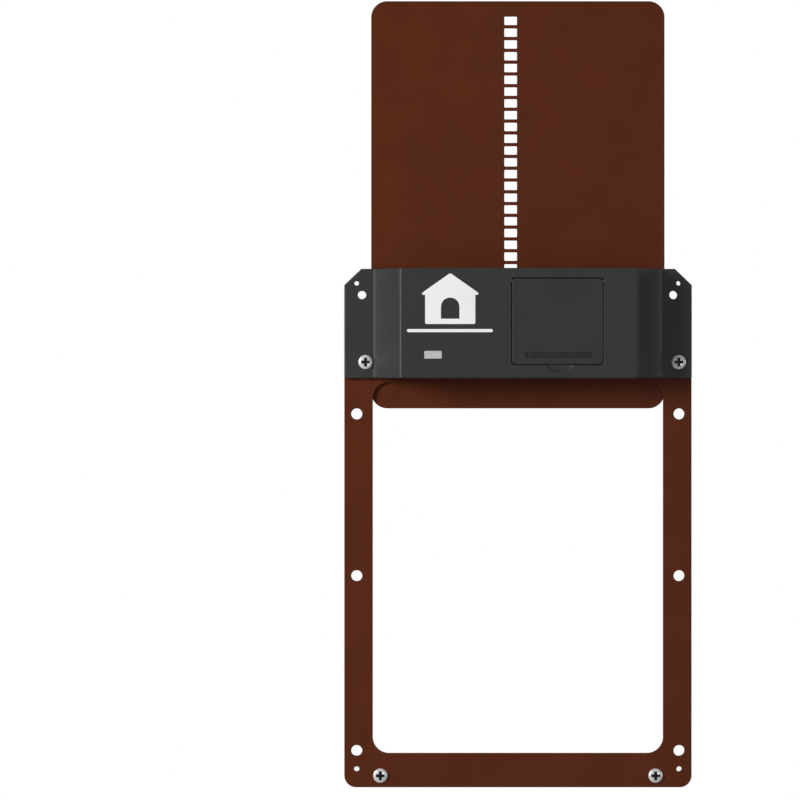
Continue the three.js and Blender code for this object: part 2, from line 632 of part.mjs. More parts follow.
// Each lead runs from a terminal to a solder pad on the back of the main board.
function buildLeads() {
  const pad = BOARD.back + 0.4;
  const leads = [
    ["motor_lead_red", RED_PVC, [[-39.8, -12.5, 326], [-43, -13, 328], [-45, -18, 333], [-45, pad, 336]]],
    ["motor_lead_black", BLACK_PVC, [[-39.8, -12.5, 322], [-45, -13, 323], [-48, -18, 330], [-48, pad, 334]]],
    ["battery_lead_red", RED_PVC, [[1.1, -23.4, 377], [-5, -22, 377], [-14, -22.4, 372], [-18, pad, 370]]],
    ["battery_lead_black", BLACK_PVC, [[1.1, -23.4, 358], [-5, -21, 358], [-14, -21.6, 356], [-18, pad, 355]]],
  ];
  leads.forEach(([name, material, points]) => lead(name, points, material));
}

buildFrame();
buildDoor();
buildCasing();
buildFlap();
buildControls();
buildMainBoard();
buildBatteries();
buildMotor();
buildDrive();
buildLeads();

export default root;
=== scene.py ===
"""The looks of the automatic coop door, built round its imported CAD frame.

Pieces are worked out in millimetres, with heights counted from the frame's bottom edge, and are
turned into the row frame's metres by piece(). Places come from the CAD nodes' boxes where they can.
"""
import json
import math

import bmesh
import bpy
from mathutils import Matrix, Vector, geometry


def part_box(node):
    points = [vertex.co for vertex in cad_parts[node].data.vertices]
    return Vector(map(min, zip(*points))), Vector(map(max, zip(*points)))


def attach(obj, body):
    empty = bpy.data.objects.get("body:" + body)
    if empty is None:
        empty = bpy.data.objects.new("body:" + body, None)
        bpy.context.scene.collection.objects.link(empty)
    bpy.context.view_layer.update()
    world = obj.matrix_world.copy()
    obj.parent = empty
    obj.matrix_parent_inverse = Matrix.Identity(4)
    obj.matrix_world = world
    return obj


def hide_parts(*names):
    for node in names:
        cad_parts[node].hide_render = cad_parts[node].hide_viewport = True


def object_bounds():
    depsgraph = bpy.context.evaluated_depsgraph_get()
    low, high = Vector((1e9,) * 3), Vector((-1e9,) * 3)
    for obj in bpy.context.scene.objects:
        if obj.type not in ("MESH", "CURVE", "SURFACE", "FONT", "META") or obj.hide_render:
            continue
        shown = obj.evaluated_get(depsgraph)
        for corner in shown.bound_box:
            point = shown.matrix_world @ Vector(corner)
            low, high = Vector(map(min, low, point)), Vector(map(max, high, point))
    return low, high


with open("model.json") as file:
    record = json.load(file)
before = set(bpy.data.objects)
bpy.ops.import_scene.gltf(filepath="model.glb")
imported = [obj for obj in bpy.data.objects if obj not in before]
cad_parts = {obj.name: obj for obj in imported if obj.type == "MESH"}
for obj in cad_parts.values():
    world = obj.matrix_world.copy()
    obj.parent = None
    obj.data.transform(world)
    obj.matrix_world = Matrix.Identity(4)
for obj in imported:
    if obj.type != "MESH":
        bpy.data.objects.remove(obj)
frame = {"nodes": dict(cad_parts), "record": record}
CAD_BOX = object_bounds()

MM = 0.001
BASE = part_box("front_frame")[0].z
ROOT = "frame_and_casing"
SMOOTH_BELOW = math.radians(32)
SLOT_OF = {s["node"]: s["material_slot"] for s in frame["record"]["subparts"]}


def box(node):
    """A CAD node's lowest and highest corners in millimetres, heights from the frame's bottom edge."""
    low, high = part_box(node)
    lift = Vector((0, 0, BASE))
    return (low - lift) / MM, (high - lift) / MM


def midpoint(low, high):
    return [(a + b) / 2 for a, b in zip(low, high)]


def middle(node):
    return Vector(midpoint(*box(node)))


# ---- driving sizes
SHEET_LOW, SHEET_HIGH = box("front_frame")
DOOR_LOW, DOOR_HIGH = box("door_panel")
CASE_LOW, CASE_HIGH = box("casing")
HALF = SHEET_HIGH.x
FRONT = CASE_LOW.y
CHAMFER = (13, 12.4)
SHEET_CORNER = 9
OPENING_RADIUS = 12.3
SLOT = {"x": -5.5, "wide": 9.6, "tall": 6.4, "pitch": 9, "count": 30, "first": 324}
FIXING_X, FIXING_HEIGHTS, FIXING_RADIUS = 123, (28, 161.4, 284.9), 4.2
SMALL_HEIGHT, SMALL_RADIUS = 13.9, 2
EAR_HOLES = ((-123, 384.5, 1.75), (122.4, 384.5, 1.75), (-119, 375.6, 3.2), (118.5, 375.6, 3.2))
EAR_FRONT, FOOT, HEAD, WALL = -11.5, 110, 90, 2.2
THREAD_HOLE, CLEAR_HOLE = 2, 2.4

# Rectangles seen from the front: left, bottom, right and top.
OPENING = (-110.7, 26.2, 110.7, 309)
PINION_WINDOW = (-11.4, 314.6, 0.4, 333.4)
PAD = (-9, 318.5, 67.4, 391.5)
APERTURE = (-5.7, 322, 64.1, 388)
LIP = (-2.5, 325.5, 60.9, 384.7)
GRIP = (4.7, 327.5, 54.9, 331.5)
WINDOW_HOLE = (-71.8, 326.5, -58.1, 332.9)
GASKET_HOLE = (-105, 314.6, 105, 391)
SWITCH_SLOT = (46.7, 334, 56, 340)

# Places along Y: the casing's inner face, the lip that the flap closes on, and the lip's back.
INNER_FACE, LIP_FRONT, LIP_BACK = -39.3, -38.8, -36.8
HINGE = (-40, 386)
BOARD_SCREWS = ((-80, 384), (-18, 326))
BRACKET_SCREWS, BEARING_SCREW = ((-21, 341), (-16.5, 341)), (4.4, 334)
PANEL_SCREWS = ((-5.8, 334), (64.2, 334))
BUTTONS = {"button_open": "open_button", "button_close": "close_button", "button_set": "set_button"}
SCREW_PLACES = {
    name: middle(name)
    for name in ("screw_sill_left", "screw_sill_right", "screw_casing_left", "screw_casing_right")
}
EAR_SCREWS = [place for name, place in SCREW_PLACES.items() if "casing" in name]


# ---- outlines, as lists of (u, v)
def arc(u, v, radius, start, end, steps):
    """Points on an arc, with its angles in degrees."""
    angles = [math.radians(start + (end - start) * i / steps) for i in range(steps + 1)]
    return [(u + radius * math.cos(a), v + radius * math.sin(a)) for a in angles]


def circle(u, v, radius, steps=32):
    return arc(u, v, radius, 0, 360, steps)[:-1]


def fillet(points, radii, steps=6):
    """A polygon with its corners rounded: one radius for each point, or one for all."""
    if not hasattr(radii, "__len__"):
        radii = [radii] * len(points)
    out = []
    for i, radius in enumerate(radii):
        here = Vector(points[i])
        before = (Vector(points[i - 1]) - here).normalized()
        after = (Vector(points[(i + 1) % len(points)]) - here).normalized()
        if radius == 0:
            out.append(tuple(here))
            continue
        half = before.angle(after) / 2
        centre = here + (before + after).normalized() * (radius / math.sin(half))
        start = here + before * (radius / math.tan(half)) - centre
        end = here + after * (radius / math.tan(half)) - centre
        first = math.atan2(start.y, start.x)
        sweep = (math.atan2(end.y, end.x) - first + math.pi) % (2 * math.pi) - math.pi
        out += arc(*centre, radius, math.degrees(first), math.degrees(first + sweep), steps)
    return out


def rectangle(left, bottom, right, top, radius=0, steps=6):
    return fillet([(left, bottom), (right, bottom), (right, top), (left, top)], radius, steps)


def centred(u, v, half_wide, half_tall, radius=0, steps=6):
    return rectangle(u - half_wide, v - half_tall, u + half_wide, v + half_tall, radius, steps)


def grown(sides, by):
    """The left, bottom, right and top of a rectangle moved outwards."""
    left, bottom, right, top = sides
    return left - by, bottom - by, right + by, top + by


def front_of(low, high, radius, steps):
    """A box's outline seen from the front."""
    return rectangle(low.x, low.z, high.x, high.z, radius, steps)


def side_of(low, high, radius, steps):
    """A box's outline seen from the side."""
    return rectangle(low.y, low.z, high.y, high.z, radius, steps)


def mirrored(side):
    """A closed outline from the points of its right half."""
    return [*((-x, y) for x, y in side), *reversed(side)]


def offset(points, grow):
    """A closed outline moved outwards by grow."""
    if grow == 0:
        return list(points)
    count = len(points)
    area = sum(
        points[i - 1][0] * points[i][1] - points[i][0] * points[i - 1][1] for i in range(count)
    )
    side = math.copysign(1, area)
    normals = []
    for i in range(count):
        (u0, v0), (u1, v1) = points[i], points[(i + 1) % count]
        length = math.hypot(u1 - u0, v1 - v0)
        normals.append((side * (v1 - v0) / length, side * (u0 - u1) / length))
    out = []
    for i, (u, v) in enumerate(points):
        (a, b), (c, d) = normals[i - 1], normals[i]
        reach = grow / (1 + a * c + b * d)
        out.append((u + (a + c) * reach, v + (b + d) * reach))
    return out


def dished(start, bend, end, steps=8):
    """Points on the quadratic curve from start towards bend and on to end."""
    out = []
    for i in range(steps + 1):
        t = i / steps
        shares = ((1 - t) ** 2, 2 * t * (1 - t), t ** 2)
        out.append(tuple(sum(s * p[k] for s, p in zip(shares, (start, bend, end))) for k in (0, 1)))
    return out


def chamfered(half, bottom, top, corner):
    """An outline with rounded bottom corners and chamfered top ones."""
    wide, tall = CHAMFER
    foot = [(-half, bottom), (half, bottom)]
    head = [(half, top - tall), (half - wide, top), (wide - half, top), (-half, top - tall)]
    return fillet([*foot, *head], [corner, corner, 1, 1, 1, 1], 8)


def frame_outline(inset):
    """The sheet's outline, drawn in by an inset."""
    return chamfered(HALF - inset, inset, SHEET_HIGH.z - inset, SHEET_CORNER)


# ---- solids, as bmeshes in millimetres
PLACE = {
    "x": lambda u, v, w: (w, u, v),
    "y": lambda u, v, w: (u, w, v),
    "z": lambda u, v, w: (u, v, w),
}


def bridge(mesh, a, b):
    """A band of faces between two rings of as many points."""
    for i in range(len(a)):
        mesh.faces.new((a[i - 1], a[i], b[i], b[i - 1]))


def loft(axis, outline, levels, holes=()):
    """A closed solid: an outline and its holes at each level along an axis.

    A level is (place, grow), and the material's outline is moved outwards there by grow.
    """
    mesh = bmesh.new()
    loops = [(outline, 1), *((hole, -1) for hole in holes)]
    rings = []
    for w, grow in levels:
        flat = [offset(points, sign * grow) for points, sign in loops]
        rings.append((flat, [[mesh.verts.new(PLACE[axis](u, v, w)) for u, v in loop] for loop in flat]))
    for (_, low), (_, high) in zip(rings, rings[1:]):
        for a, b in zip(low, high):
            bridge(mesh, a, b)
    for flat, ring in (rings[0], rings[-1]):
        if not holes:
            mesh.faces.new(ring[0])
            continue
        corners = [corner for loop in ring for corner in loop]
        sketch = [[Vector((u, v, 0)) for u, v in loop] for loop in flat]
        for triangle in geometry.tessellate_polygon(sketch):
            if len(set(triangle)) == 3:
                mesh.faces.new([corners[k] for k in triangle])
    return closed(mesh)


def closed(mesh):
    """Fills the slits that collinear points leave, and turns every face outwards."""
    slits = [edge for edge in mesh.edges if edge.is_boundary]
    if slits:
        bmesh.ops.holes_fill(mesh, edges=slits, sides=0)
    bmesh.ops.recalc_face_normals(mesh, faces=mesh.faces)
    return mesh


def prism(axis, outline, start, end, at_start=0, at_end=None, steps=3, holes=()):
    """A straight solid whose end edges are rounded by these radii."""
    at_end = at_start if at_end is None else at_end
    levels = []
    for i in range(steps + 1 if at_start else 1):
        angle = math.pi / 2 * i / steps
        levels.append((start + at_start * (1 - math.cos(angle)), at_start * (math.sin(angle) - 1)))
    for i in range(steps + 1 if at_end else 1):
        angle = math.pi / 2 * i / steps
        levels.append((end - at_end * (1 - math.sin(angle)), at_end * (math.cos(angle) - 1)))
    return loft(axis, outline, levels, holes)


def block(low, high, edge=0, steps=3):
    """A box between two corners, with its edges rounded."""
    (x0, y0, z0), (x1, y1, z1) = low, high
    return prism("y", rectangle(x0, z0, x1, z1, edge, 4), y0, y1, 0.85 * edge, steps=steps)


def slab(x, z, half_wide, half_tall, front, back, edge=0, steps=3):
    """A block centred on a point of the front view, from front to back."""
    return block((x - half_wide, front, z - half_tall), (x + half_wide, back, z + half_tall), edge, steps)


def lathe(profile, centre, axis="y", steps=32):
    """A turned solid. profile is (radius, place along the axis), from the axis and back to it."""
    mesh = bmesh.new()
    u0, v0, w0 = {"x": (1, 2, 0), "y": (0, 2, 1), "z": (0, 1, 2)}[axis]
    place = PLACE[axis]
    rings = []
    for radius, w in profile:
        if radius == 0:
            rings.append([mesh.verts.new(place(centre[u0], centre[v0], centre[w0] + w))])
        else:
            ring = circle(centre[u0], centre[v0], radius, steps)
            rings.append([mesh.verts.new(place(u, v, centre[w0] + w)) for u, v in ring])
    for a, b in zip(rings, rings[1:]):
        for i in range(steps):
            corners = []
            for ring, j in ((a, i - 1), (a, i), (b, i), (b, i - 1)):
                corner = ring[j % len(ring)] if len(ring) > 1 else ring[0]
                if corner not in corners:
                    corners.append(corner)
            mesh.faces.new(corners)
    return closed(mesh)


def sweep(points, radius, sides=10):
    """A round wire along a line of points, with flat ends."""
    mesh = bmesh.new()
    path = [Vector(p) for p in points]
    side = None
    rings = []
    for i, here in enumerate(path):
        along = (path[min(i + 1, len(path) - 1)] - path[max(i - 1, 0)]).normalized()
        if side is None:
            side = along.orthogonal().normalized()
        side = (side - along * side.dot(along)).normalized()
        other = along.cross(side)
        turns = [2 * math.pi * k / sides for k in range(sides)]
        rims = [here + radius * (side * math.cos(t) + other * math.sin(t)) for t in turns]
        rings.append([mesh.verts.new(rim) for rim in rims])
    for a, b in zip(rings, rings[1:]):
        bridge(mesh, a, b)
    mesh.faces.new(rings[0])
    mesh.faces.new(rings[-1])
    return closed(mesh)


def ball(centre, radius, stretch, around, rings):
    """A sphere stretched along the three axes."""
    angles = [math.pi * i / rings for i in range(1, rings)]
    side = [(radius * math.sin(a), -radius * math.cos(a)) for a in angles]
    mesh = lathe([(0, -radius), *side, (0, radius)], (0, 0, 0), "z", around)
    mesh.transform(Matrix.Translation(centre) @ Matrix.Diagonal((*stretch, 1)))
    return mesh


def together(*solids):
    """Separate solids held in one bmesh."""
    joined = bmesh.new()
    for part in solids:
        data = bpy.data.meshes.new("part")
        part.to_mesh(data)
        part.free()
        joined.from_mesh(data)
        bpy.data.meshes.remove(data)
    return joined


def combine(base, other, operation="DIFFERENCE"):
    """base cut by other, or joined or intersected with it."""
    holders = []
    for mesh in (base, other):
        data = bpy.data.meshes.new("operand")
        mesh.to_mesh(data)
        mesh.free()
        holder = bpy.data.objects.new("operand", data)
        bpy.context.scene.collection.objects.link(holder)
        holders.append(holder)
    cutter = holders[0].modifiers.new("cut", "BOOLEAN")
    cutter.operation = operation
    cutter.solver = "EXACT"
    cutter.object = holders[1]
    bpy.context.view_layer.update()
    graph = bpy.context.evaluated_depsgraph_get()
    result = bpy.data.meshes.new_from_object(holders[0].evaluated_get(graph))
    out = bmesh.new()
    out.from_mesh(result)
    bpy.data.meshes.remove(result)
    for holder in holders:
        data = holder.data
        bpy.data.objects.remove(holder)
        bpy.data.meshes.remove(data)
    weld = 2e-4
    bmesh.ops.remove_doubles(out, verts=out.verts, dist=weld)
    bmesh.ops.dissolve_degenerate(out, edges=out.edges, dist=weld)
    return closed(out)


def fused(base, *others):
    """Solids made into one."""
    for other in others:
        base = combine(base, other, "UNION")
    return base


def piece(name, mesh, material, body=ROOT):
    """Turns a bmesh into a finished piece that rides on a body."""
    mesh.transform(Matrix.Translation((0, 0, BASE)) @ Matrix.Scale(MM, 4))
    data = bpy.data.meshes.new(name)
    mesh.to_mesh(data)
    mesh.free()
    data.shade_smooth()
    data.set_sharp_from_angle(angle=SMOOTH_BELOW)
    data.materials.append(material)
    made = bpy.data.objects.new(name, data)
    bpy.context.scene.collection.objects.link(made)
    shading = made.modifiers.new("broad faces shade flat", "WEIGHTED_NORMAL")
    shading.keep_sharp = True
    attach(made, body)
    return made


def stand_in(node, mesh, material, body=ROOT, name=None):
    """A piece that is shown in a CAD node's place, with that node hidden."""
    made = piece(name or f"{node}_detail", mesh, material, body)
    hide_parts(node)
    return made


def recolour(made, material, chosen):
    """A second material on the faces whose middle, in millimetres, and normal pass a test."""
    made.data.materials.append(material)
    index = len(made.data.materials) - 1
    for face in made.data.polygons:
        centre = (face.center - Vector((0, 0, BASE))) / MM
        if chosen(centre, face.normal):
            face.material_index = index


# ---- materials
def linear(red, green, blue):
    """A colour given in 8-bit sRGB, as linear light with alpha."""
    values = [c / 255 for c in (red, green, blue)]
    return (*(v / 12.92 if v <= 0.04045 else ((v + 0.055) / 1.055) ** 2.4 for v in values), 1)


def adder(tree):
    """A function that adds a node to a tree, with its inputs set or linked."""
    def add(kind, inputs=(), operation=None):
        node = tree.nodes.new("ShaderNode" + kind)
        if operation:
            node.operation = operation
        for name, value in dict(inputs).items():
            if isinstance(value, bpy.types.NodeSocket):
                tree.links.new(value, node.inputs[name])
            else:
                node.inputs[name].default_value = value
        return node.outputs
    return add


def surface(name, rgb, rough, metal=0, mottle=0.12, mottle_scale=35, grain=(0.15, 900),
            fine=(0.1, 3500), rough_spread=0.08, coat=0, specular=0.5):
    """A procedural finish: cloudy colour, a two-scale relief, and roughness that varies with both.

    Scales are features per metre, roughly; grain and fine are each relief's strength and scale.
    """
    colour = linear(*rgb)
    material = bpy.data.materials.new(name)
    material.use_nodes = True
    tree = material.node_tree
    add = adder(tree)
    shader = tree.nodes["Principled BSDF"].inputs
    shader["Metallic"].default_value = metal
    shader["Coat Weight"].default_value = coat
    shader["Coat Roughness"].default_value = 0.25
    shader["Specular IOR Level"].default_value = specular

    where = add("TexCoord")["Object"]
    cloud, coarse, small = (
        add("TexNoise", {"Vector": where, "Scale": scale, "Detail": detail})["Fac"]
        for scale, detail in ((mottle_scale, 4), (grain[1], 2), (fine[1], 2))
    )
    tint = add("ValToRGB", {"Fac": cloud})["Color"]
    stops = tint.node.color_ramp.elements
    for stop, place, gain in zip(stops, (0.3, 0.7), (1 - mottle, 1 + mottle)):
        stop.position = place
        stop.color = (*(min(1, c * gain) for c in colour[:3]), 1)
    tree.links.new(tint, shader["Base Color"])

    half = add("Math", {0: cloud, 1: 0.5}, "MULTIPLY")["Value"]
    both = add("Math", {0: coarse, 1: 0.5, 2: half}, "MULTIPLY_ADD")["Value"]
    spread = add("MapRange", {
        "Value": both, "From Min": 0.3, "From Max": 0.7,
        "To Min": max(0.02, rough - rough_spread), "To Max": min(1, rough + rough_spread),
    })
    tree.links.new(spread["Result"], shader["Roughness"])

    relief = add("Bump", {"Strength": grain[0], "Distance": 0.1 * MM, "Height": coarse})["Normal"]
    texture = add("Bump", {"Strength": fine[0], "Distance": 0.03 * MM, "Height": small, "Normal": relief})
    tree.links.new(texture["Normal"], shader["Normal"])
    return material


PAINT = surface("brown_powder_coat", (89, 41, 21), 0.42, mottle=0.07, grain=(0.35, 700), fine=(0.2, 2600),
                rough_spread=0.06, specular=0.09)
MOULDING = {
    "mottle": 0.05, "grain": (0.22, 1500), "fine": (0.35, 5200), "rough_spread": 0.05, "specular": 0.34,
}
CASE = surface("charcoal_moulding", (50, 49, 50), 0.46, **MOULDING)
FLAP = surface("charcoal_flap", (49, 48, 49), 0.47, **MOULDING)
RAIL = surface("black_extrusion", (30, 28, 28), 0.5, mottle=0.1, grain=(0.2, 500), fine=(0.2, 2400))
BLACK = surface("black_moulding", (26, 26, 27), 0.45, mottle=0.08, grain=(0.15, 1200), fine=(0.25, 4200))
RUBBER = surface("foam_rubber", (20, 20, 20), 0.9, mottle=0.2, grain=(0.5, 1600), fine=(0.4, 5000))
SILICONE = surface("button_silicone", (118, 118, 120), 0.6, mottle=0.05, grain=(0.1, 1500), fine=(0.25, 5200))
CHROME = surface("bright_plating", (236, 236, 236), 0.26, metal=0.45, mottle=0.03, grain=(0.05, 900),
                 fine=(0.04, 3000), rough_spread=0.04)
# Painted shade: a dark, part-metal finish laid into the screws' cross recesses.
RECESS_SHADE = surface("recess_shadow", (40, 41, 43), 0.45, metal=0.7, mottle=0.2, grain=(0.2, 900))
STEEL = surface("zinc_steel", (176, 178, 181), 0.3, metal=1, mottle=0.08, mottle_scale=160,
                grain=(0.12, 1400), fine=(0.1, 4000))
COPPER = surface("copper_band", (176, 104, 58), 0.32, metal=0.6, mottle=0.06, mottle_scale=90,
                 grain=(0.08, 900), coat=0.3)
BRASS = surface("stamped_brass", (190, 158, 92), 0.3, metal=1, mottle=0.1, mottle_scale=120,
                grain=(0.1, 1200))
WINDOW = surface("frosted_window", (201, 199, 199), 0.4, mottle=0.04, grain=(0.15, 1300), fine=(0.3, 4500),
                 coat=0.2)
PRINT = surface("white_print", (252, 252, 252), 0.55, mottle=0.02, grain=(0.15, 2200), fine=(0.2, 6000))
NYLON = surface("natural_nylon", (226, 222, 208), 0.42, mottle=0.05, grain=(0.12, 800))
BOARD = surface("solder_mask", (24, 84, 52), 0.32, mottle=0.1, mottle_scale=240, grain=(0.2, 2000),
                coat=0.3)
CELL = surface("cell_sleeve", (44, 50, 58), 0.3, mottle=0.06, grain=(0.08, 500), coat=0.4)
RED_PVC = surface("red_pvc", (160, 28, 24), 0.45, mottle=0.06, grain=(0.1, 1500))
BLACK_PVC = surface("black_pvc", (22, 22, 22), 0.45, mottle=0.06, grain=(0.1, 1500))

# The look of each record slot, for the CAD nodes themselves.
SLOT_LOOKS = {
    "brown_paint": PAINT, "rail_plastic": RAIL, "case_plastic": CASE, "black_plastic": BLACK,
    "button_rubber": SILICONE, "seal_rubber": RUBBER, "window_plastic": WINDOW, "screw_chrome": CHROME,
    "steel": STEEL, "cell_skin": CELL, "brass": BRASS, "nylon": NYLON, "board_green": BOARD,
    "red_pvc": RED_PVC, "black_pvc": BLACK_PVC,
}


# ---- frame, door and casing
def build_sheet():
    holes = [
        rectangle(*OPENING, OPENING_RADIUS, 10),
        rectangle(*PINION_WINDOW),
        *(circle(x, z, r) for x, z, r in EAR_HOLES),
        *(circle(p.x, p.z, THREAD_HOLE) for p in SCREW_PLACES.values()),
    ]
    for x in (-FIXING_X, FIXING_X):
        holes += [circle(x, z, FIXING_RADIUS, 40) for z in FIXING_HEIGHTS]
        holes.append(circle(x, SMALL_HEIGHT, SMALL_RADIUS))
    mesh = prism("y", frame_outline(0), SHEET_LOW.y, SHEET_HIGH.y, 0.45, holes=holes)
    stand_in("front_frame", mesh, PAINT, name="frame_sheet")


def build_door():
    heights = [SLOT["first"] + i * SLOT["pitch"] for i in range(SLOT["count"])]
    slots = [centred(SLOT["x"], z, SLOT["wide"] / 2, SLOT["tall"] / 2, 0.6, 3) for z in heights]
    outline = front_of(DOOR_LOW, DOOR_HIGH, OPENING_RADIUS, 12)
    mesh = prism("y", outline, DOOR_LOW.y, DOOR_HIGH.y, 0.3, steps=2, holes=slots)
    stand_in("door_panel", mesh, PAINT, "door", "door_sheet")


def drilled(x, z, radius, broken=0.35):
    """A cutter for a hole through an ear, whose front edge is broken."""
    levels = [(EAR_FRONT - 4, broken + 0.05), (EAR_FRONT, broken), (EAR_FRONT + broken, 0), (0, 0)]
    return loft("y", circle(x, z, radius), levels)


def casing_shell():
    """The hollow casing: two flat ears and the raised box between them, blended at its foot."""
    bottom, top, back = CASE_LOW.z, CASE_HIGH.z, CASE_HIGH.y
    ears = prism("y", chamfered(CASE_HIGH.x, bottom, top, 1), EAR_FRONT, back, 0.9, 0)
    sunk, hidden = EAR_FRONT + 0.02, FOOT + 8
    slope = dished((FOOT, sunk), (FOOT - 6.6, sunk - 4.6), (HEAD, FRONT))
    blend, shoulder = 1.5, 2.4
    radii = [0, 0, blend, *[0] * (len(slope) - 2), shoulder]
    raised = fillet(mirrored([(hidden, back - 0.5), (hidden, sunk), *slope]), [*radii, *reversed(radii)])
    shell = fused(ears, prism("z", raised, bottom, top, 1.1, steps=4))

    inner = dished((FOOT - WALL, -10), (101, -14.6), (HEAD - 1.4, FRONT + WALL))
    hollow = mirrored([(FOOT - WALL, back + 1), *inner])
    return combine(shell, prism("z", hollow, bottom + 1.6, top - WALL))


def build_casing():
    """The casing with its flap's mouth, window, holes, screw seats and finger scoop."""
    left, bottom, right, top = APERTURE
    pad = prism("y", rectangle(*PAD), FRONT + 2, LIP_BACK)
    shelf_low, shelf_high, shelf_back = 349.5, 351.8, -20
    shelf = block((PAD[0], -37.5, shelf_low), (PAD[2], shelf_back, shelf_high))
    shell = fused(casing_shell(), pad, shelf)

    mouth, recess_low, seat_radius = 0.5, HINGE[1] - 2, 6.4
    turns = [math.pi / 2 * i / 4 for i in range(5)]
    flare = [(FRONT + mouth * math.sin(a), mouth * (1 - math.sin(a))) for a in turns]
    opening = loft("y", rectangle(*APERTURE, 3.4), [(FRONT - 1, mouth), *flare, (LIP_FRONT, 0)])
    hinge_recess = block((left, -42, recess_low), (right, -38, top))
    way_in = prism("y", rectangle(*LIP, 1.5, 4), -42, -36)
    eased = [(FRONT - 1, 0.35), (FRONT, 0.3), (FRONT + 0.4, 0), (-38, 0)]
    window = loft("y", rectangle(*WINDOW_HOLE, 0.8, 4), eased)
    holes = [drilled(*hole) for hole in EAR_HOLES]
    holes += [drilled(p.x, p.z, CLEAR_HOLE) for p in EAR_SCREWS]
    head_seat = [(EAR_FRONT - 6, 0.5), (EAR_FRONT, 0)]
    seats = [loft("y", circle(p.x, p.z, seat_radius, 48), head_seat) for p in EAR_SCREWS]
    scoop_x, scoop_radii = 31.2, (10, 1.45, 5.8)
    scoop = ball((scoop_x, FRONT, bottom), 1, scoop_radii, 48, 24)
    for cutter in (opening, hinge_recess, way_in, window, together(*holes), together(*seats), scoop):
        shell = combine(shell, cutter)
    stand_in("casing", shell, CASE, name="casing_shell")


def build_flap():
    """The flap with its knuckle, and the ribs of its grip in a groove whose floor is painted dark as shade.
    """
    low, high = box("flap")
    front, thick, knuckle_end = low.y, 2, 2.5
    plate = prism("y", front_of(low, high, 3, 8), front, front + thick, 0.4, 0)
    knuckle = prism("x", circle(*HINGE, 1.5, 24), low.x + knuckle_end, high.x - knuckle_end)
    bore = prism("x", circle(*HINGE, 0.95, 20), low.x - 1, high.x + 1)
    groove = loft("y", rectangle(*GRIP, 0.6, 4),
                  [(front - 1, 0.2), (front, 0.15), (front + 0.2, 0), (front + 0.9, 0)])
    body = combine(combine(fused(plate, knuckle), bore), groove)
    made = stand_in("flap", body, FLAP, "flap", "flap_cover")
    left, bottom, right, top = GRIP

    def in_shaded_groove(p, normal):
        return left < p.x < right and bottom < p.z < top and front + 0.2 < p.y < front + 1

    # Painted shade: the groove's floor takes the near-black moulding, for the shade between the ribs.
    recolour(made, BLACK, in_shaded_groove)
    first, last, count, half = 5.6, 54, 26, 0.4
    ribs = []
    for i in range(count):
        x = first + i * (last - first) / (count - 1)
        rib = rectangle(x - half, bottom + 0.4, x + half, top - 0.4, 0.2, 3)
        ribs.append(prism("y", rib, front + 0.35, front + 1.2, 0.18, 0))
    piece("flap_grip_ribs", together(*ribs), FLAP, "flap")


def build_window():
    """The light sensor's window, with a flange behind the casing's front wall."""
    left, bottom, right, top = WINDOW_HOLE
    gap, rim_wide, rim_tall = 0.2, 1.4, 1.3
    pane = rectangle(*grown(WINDOW_HOLE, -gap), 0.7, 4)
    lens = prism("y", pane, box("sensor_window")[0].y + 0.15, -38.4, 0.3, 0)
    flange = block((left - rim_wide, INNER_FACE, bottom - rim_tall),
                   (right + rim_wide, INNER_FACE + 1, top + rim_tall))
    stand_in("sensor_window", fused(lens, flange), WINDOW, name="sensor_lens")


def printed(face, outline, film, soft, holes=()):
    """A film of ink on a face that looks along -Y, with a soft edge."""
    return loft("y", outline, [(face - film, -soft), (face - soft, 0), (face + 0.05, 0)], holes)


def build_emblem():
    """A plain house pictogram and a rule under it, printed on the casing."""
    middle_x, floor, eaves, ridge = -52, 353, 375, 391.6
    house = [(-71, floor), (-33, floor), (-33, eaves), (-28.5, eaves), (middle_x, ridge),
             (-75.5, eaves), (-71, eaves)]
    walls = fillet(house, [1.2, 1.2, 0.4, 1.0, 2.0, 1.0, 0.4], 5)
    doorway = [(middle_x - 7, 357), (middle_x + 7, 357), *arc(middle_x, 366, 7, 0, 180, 16)]
    mark = printed(FRONT, walls, 0.06, 0.03, [doorway])
    rule = printed(FRONT, rectangle(-84.7, 346.8, -19.8, 349.2, 1.1), 0.06, 0.03)
    piece("house_pictogram", together(mark, rule), PRINT)


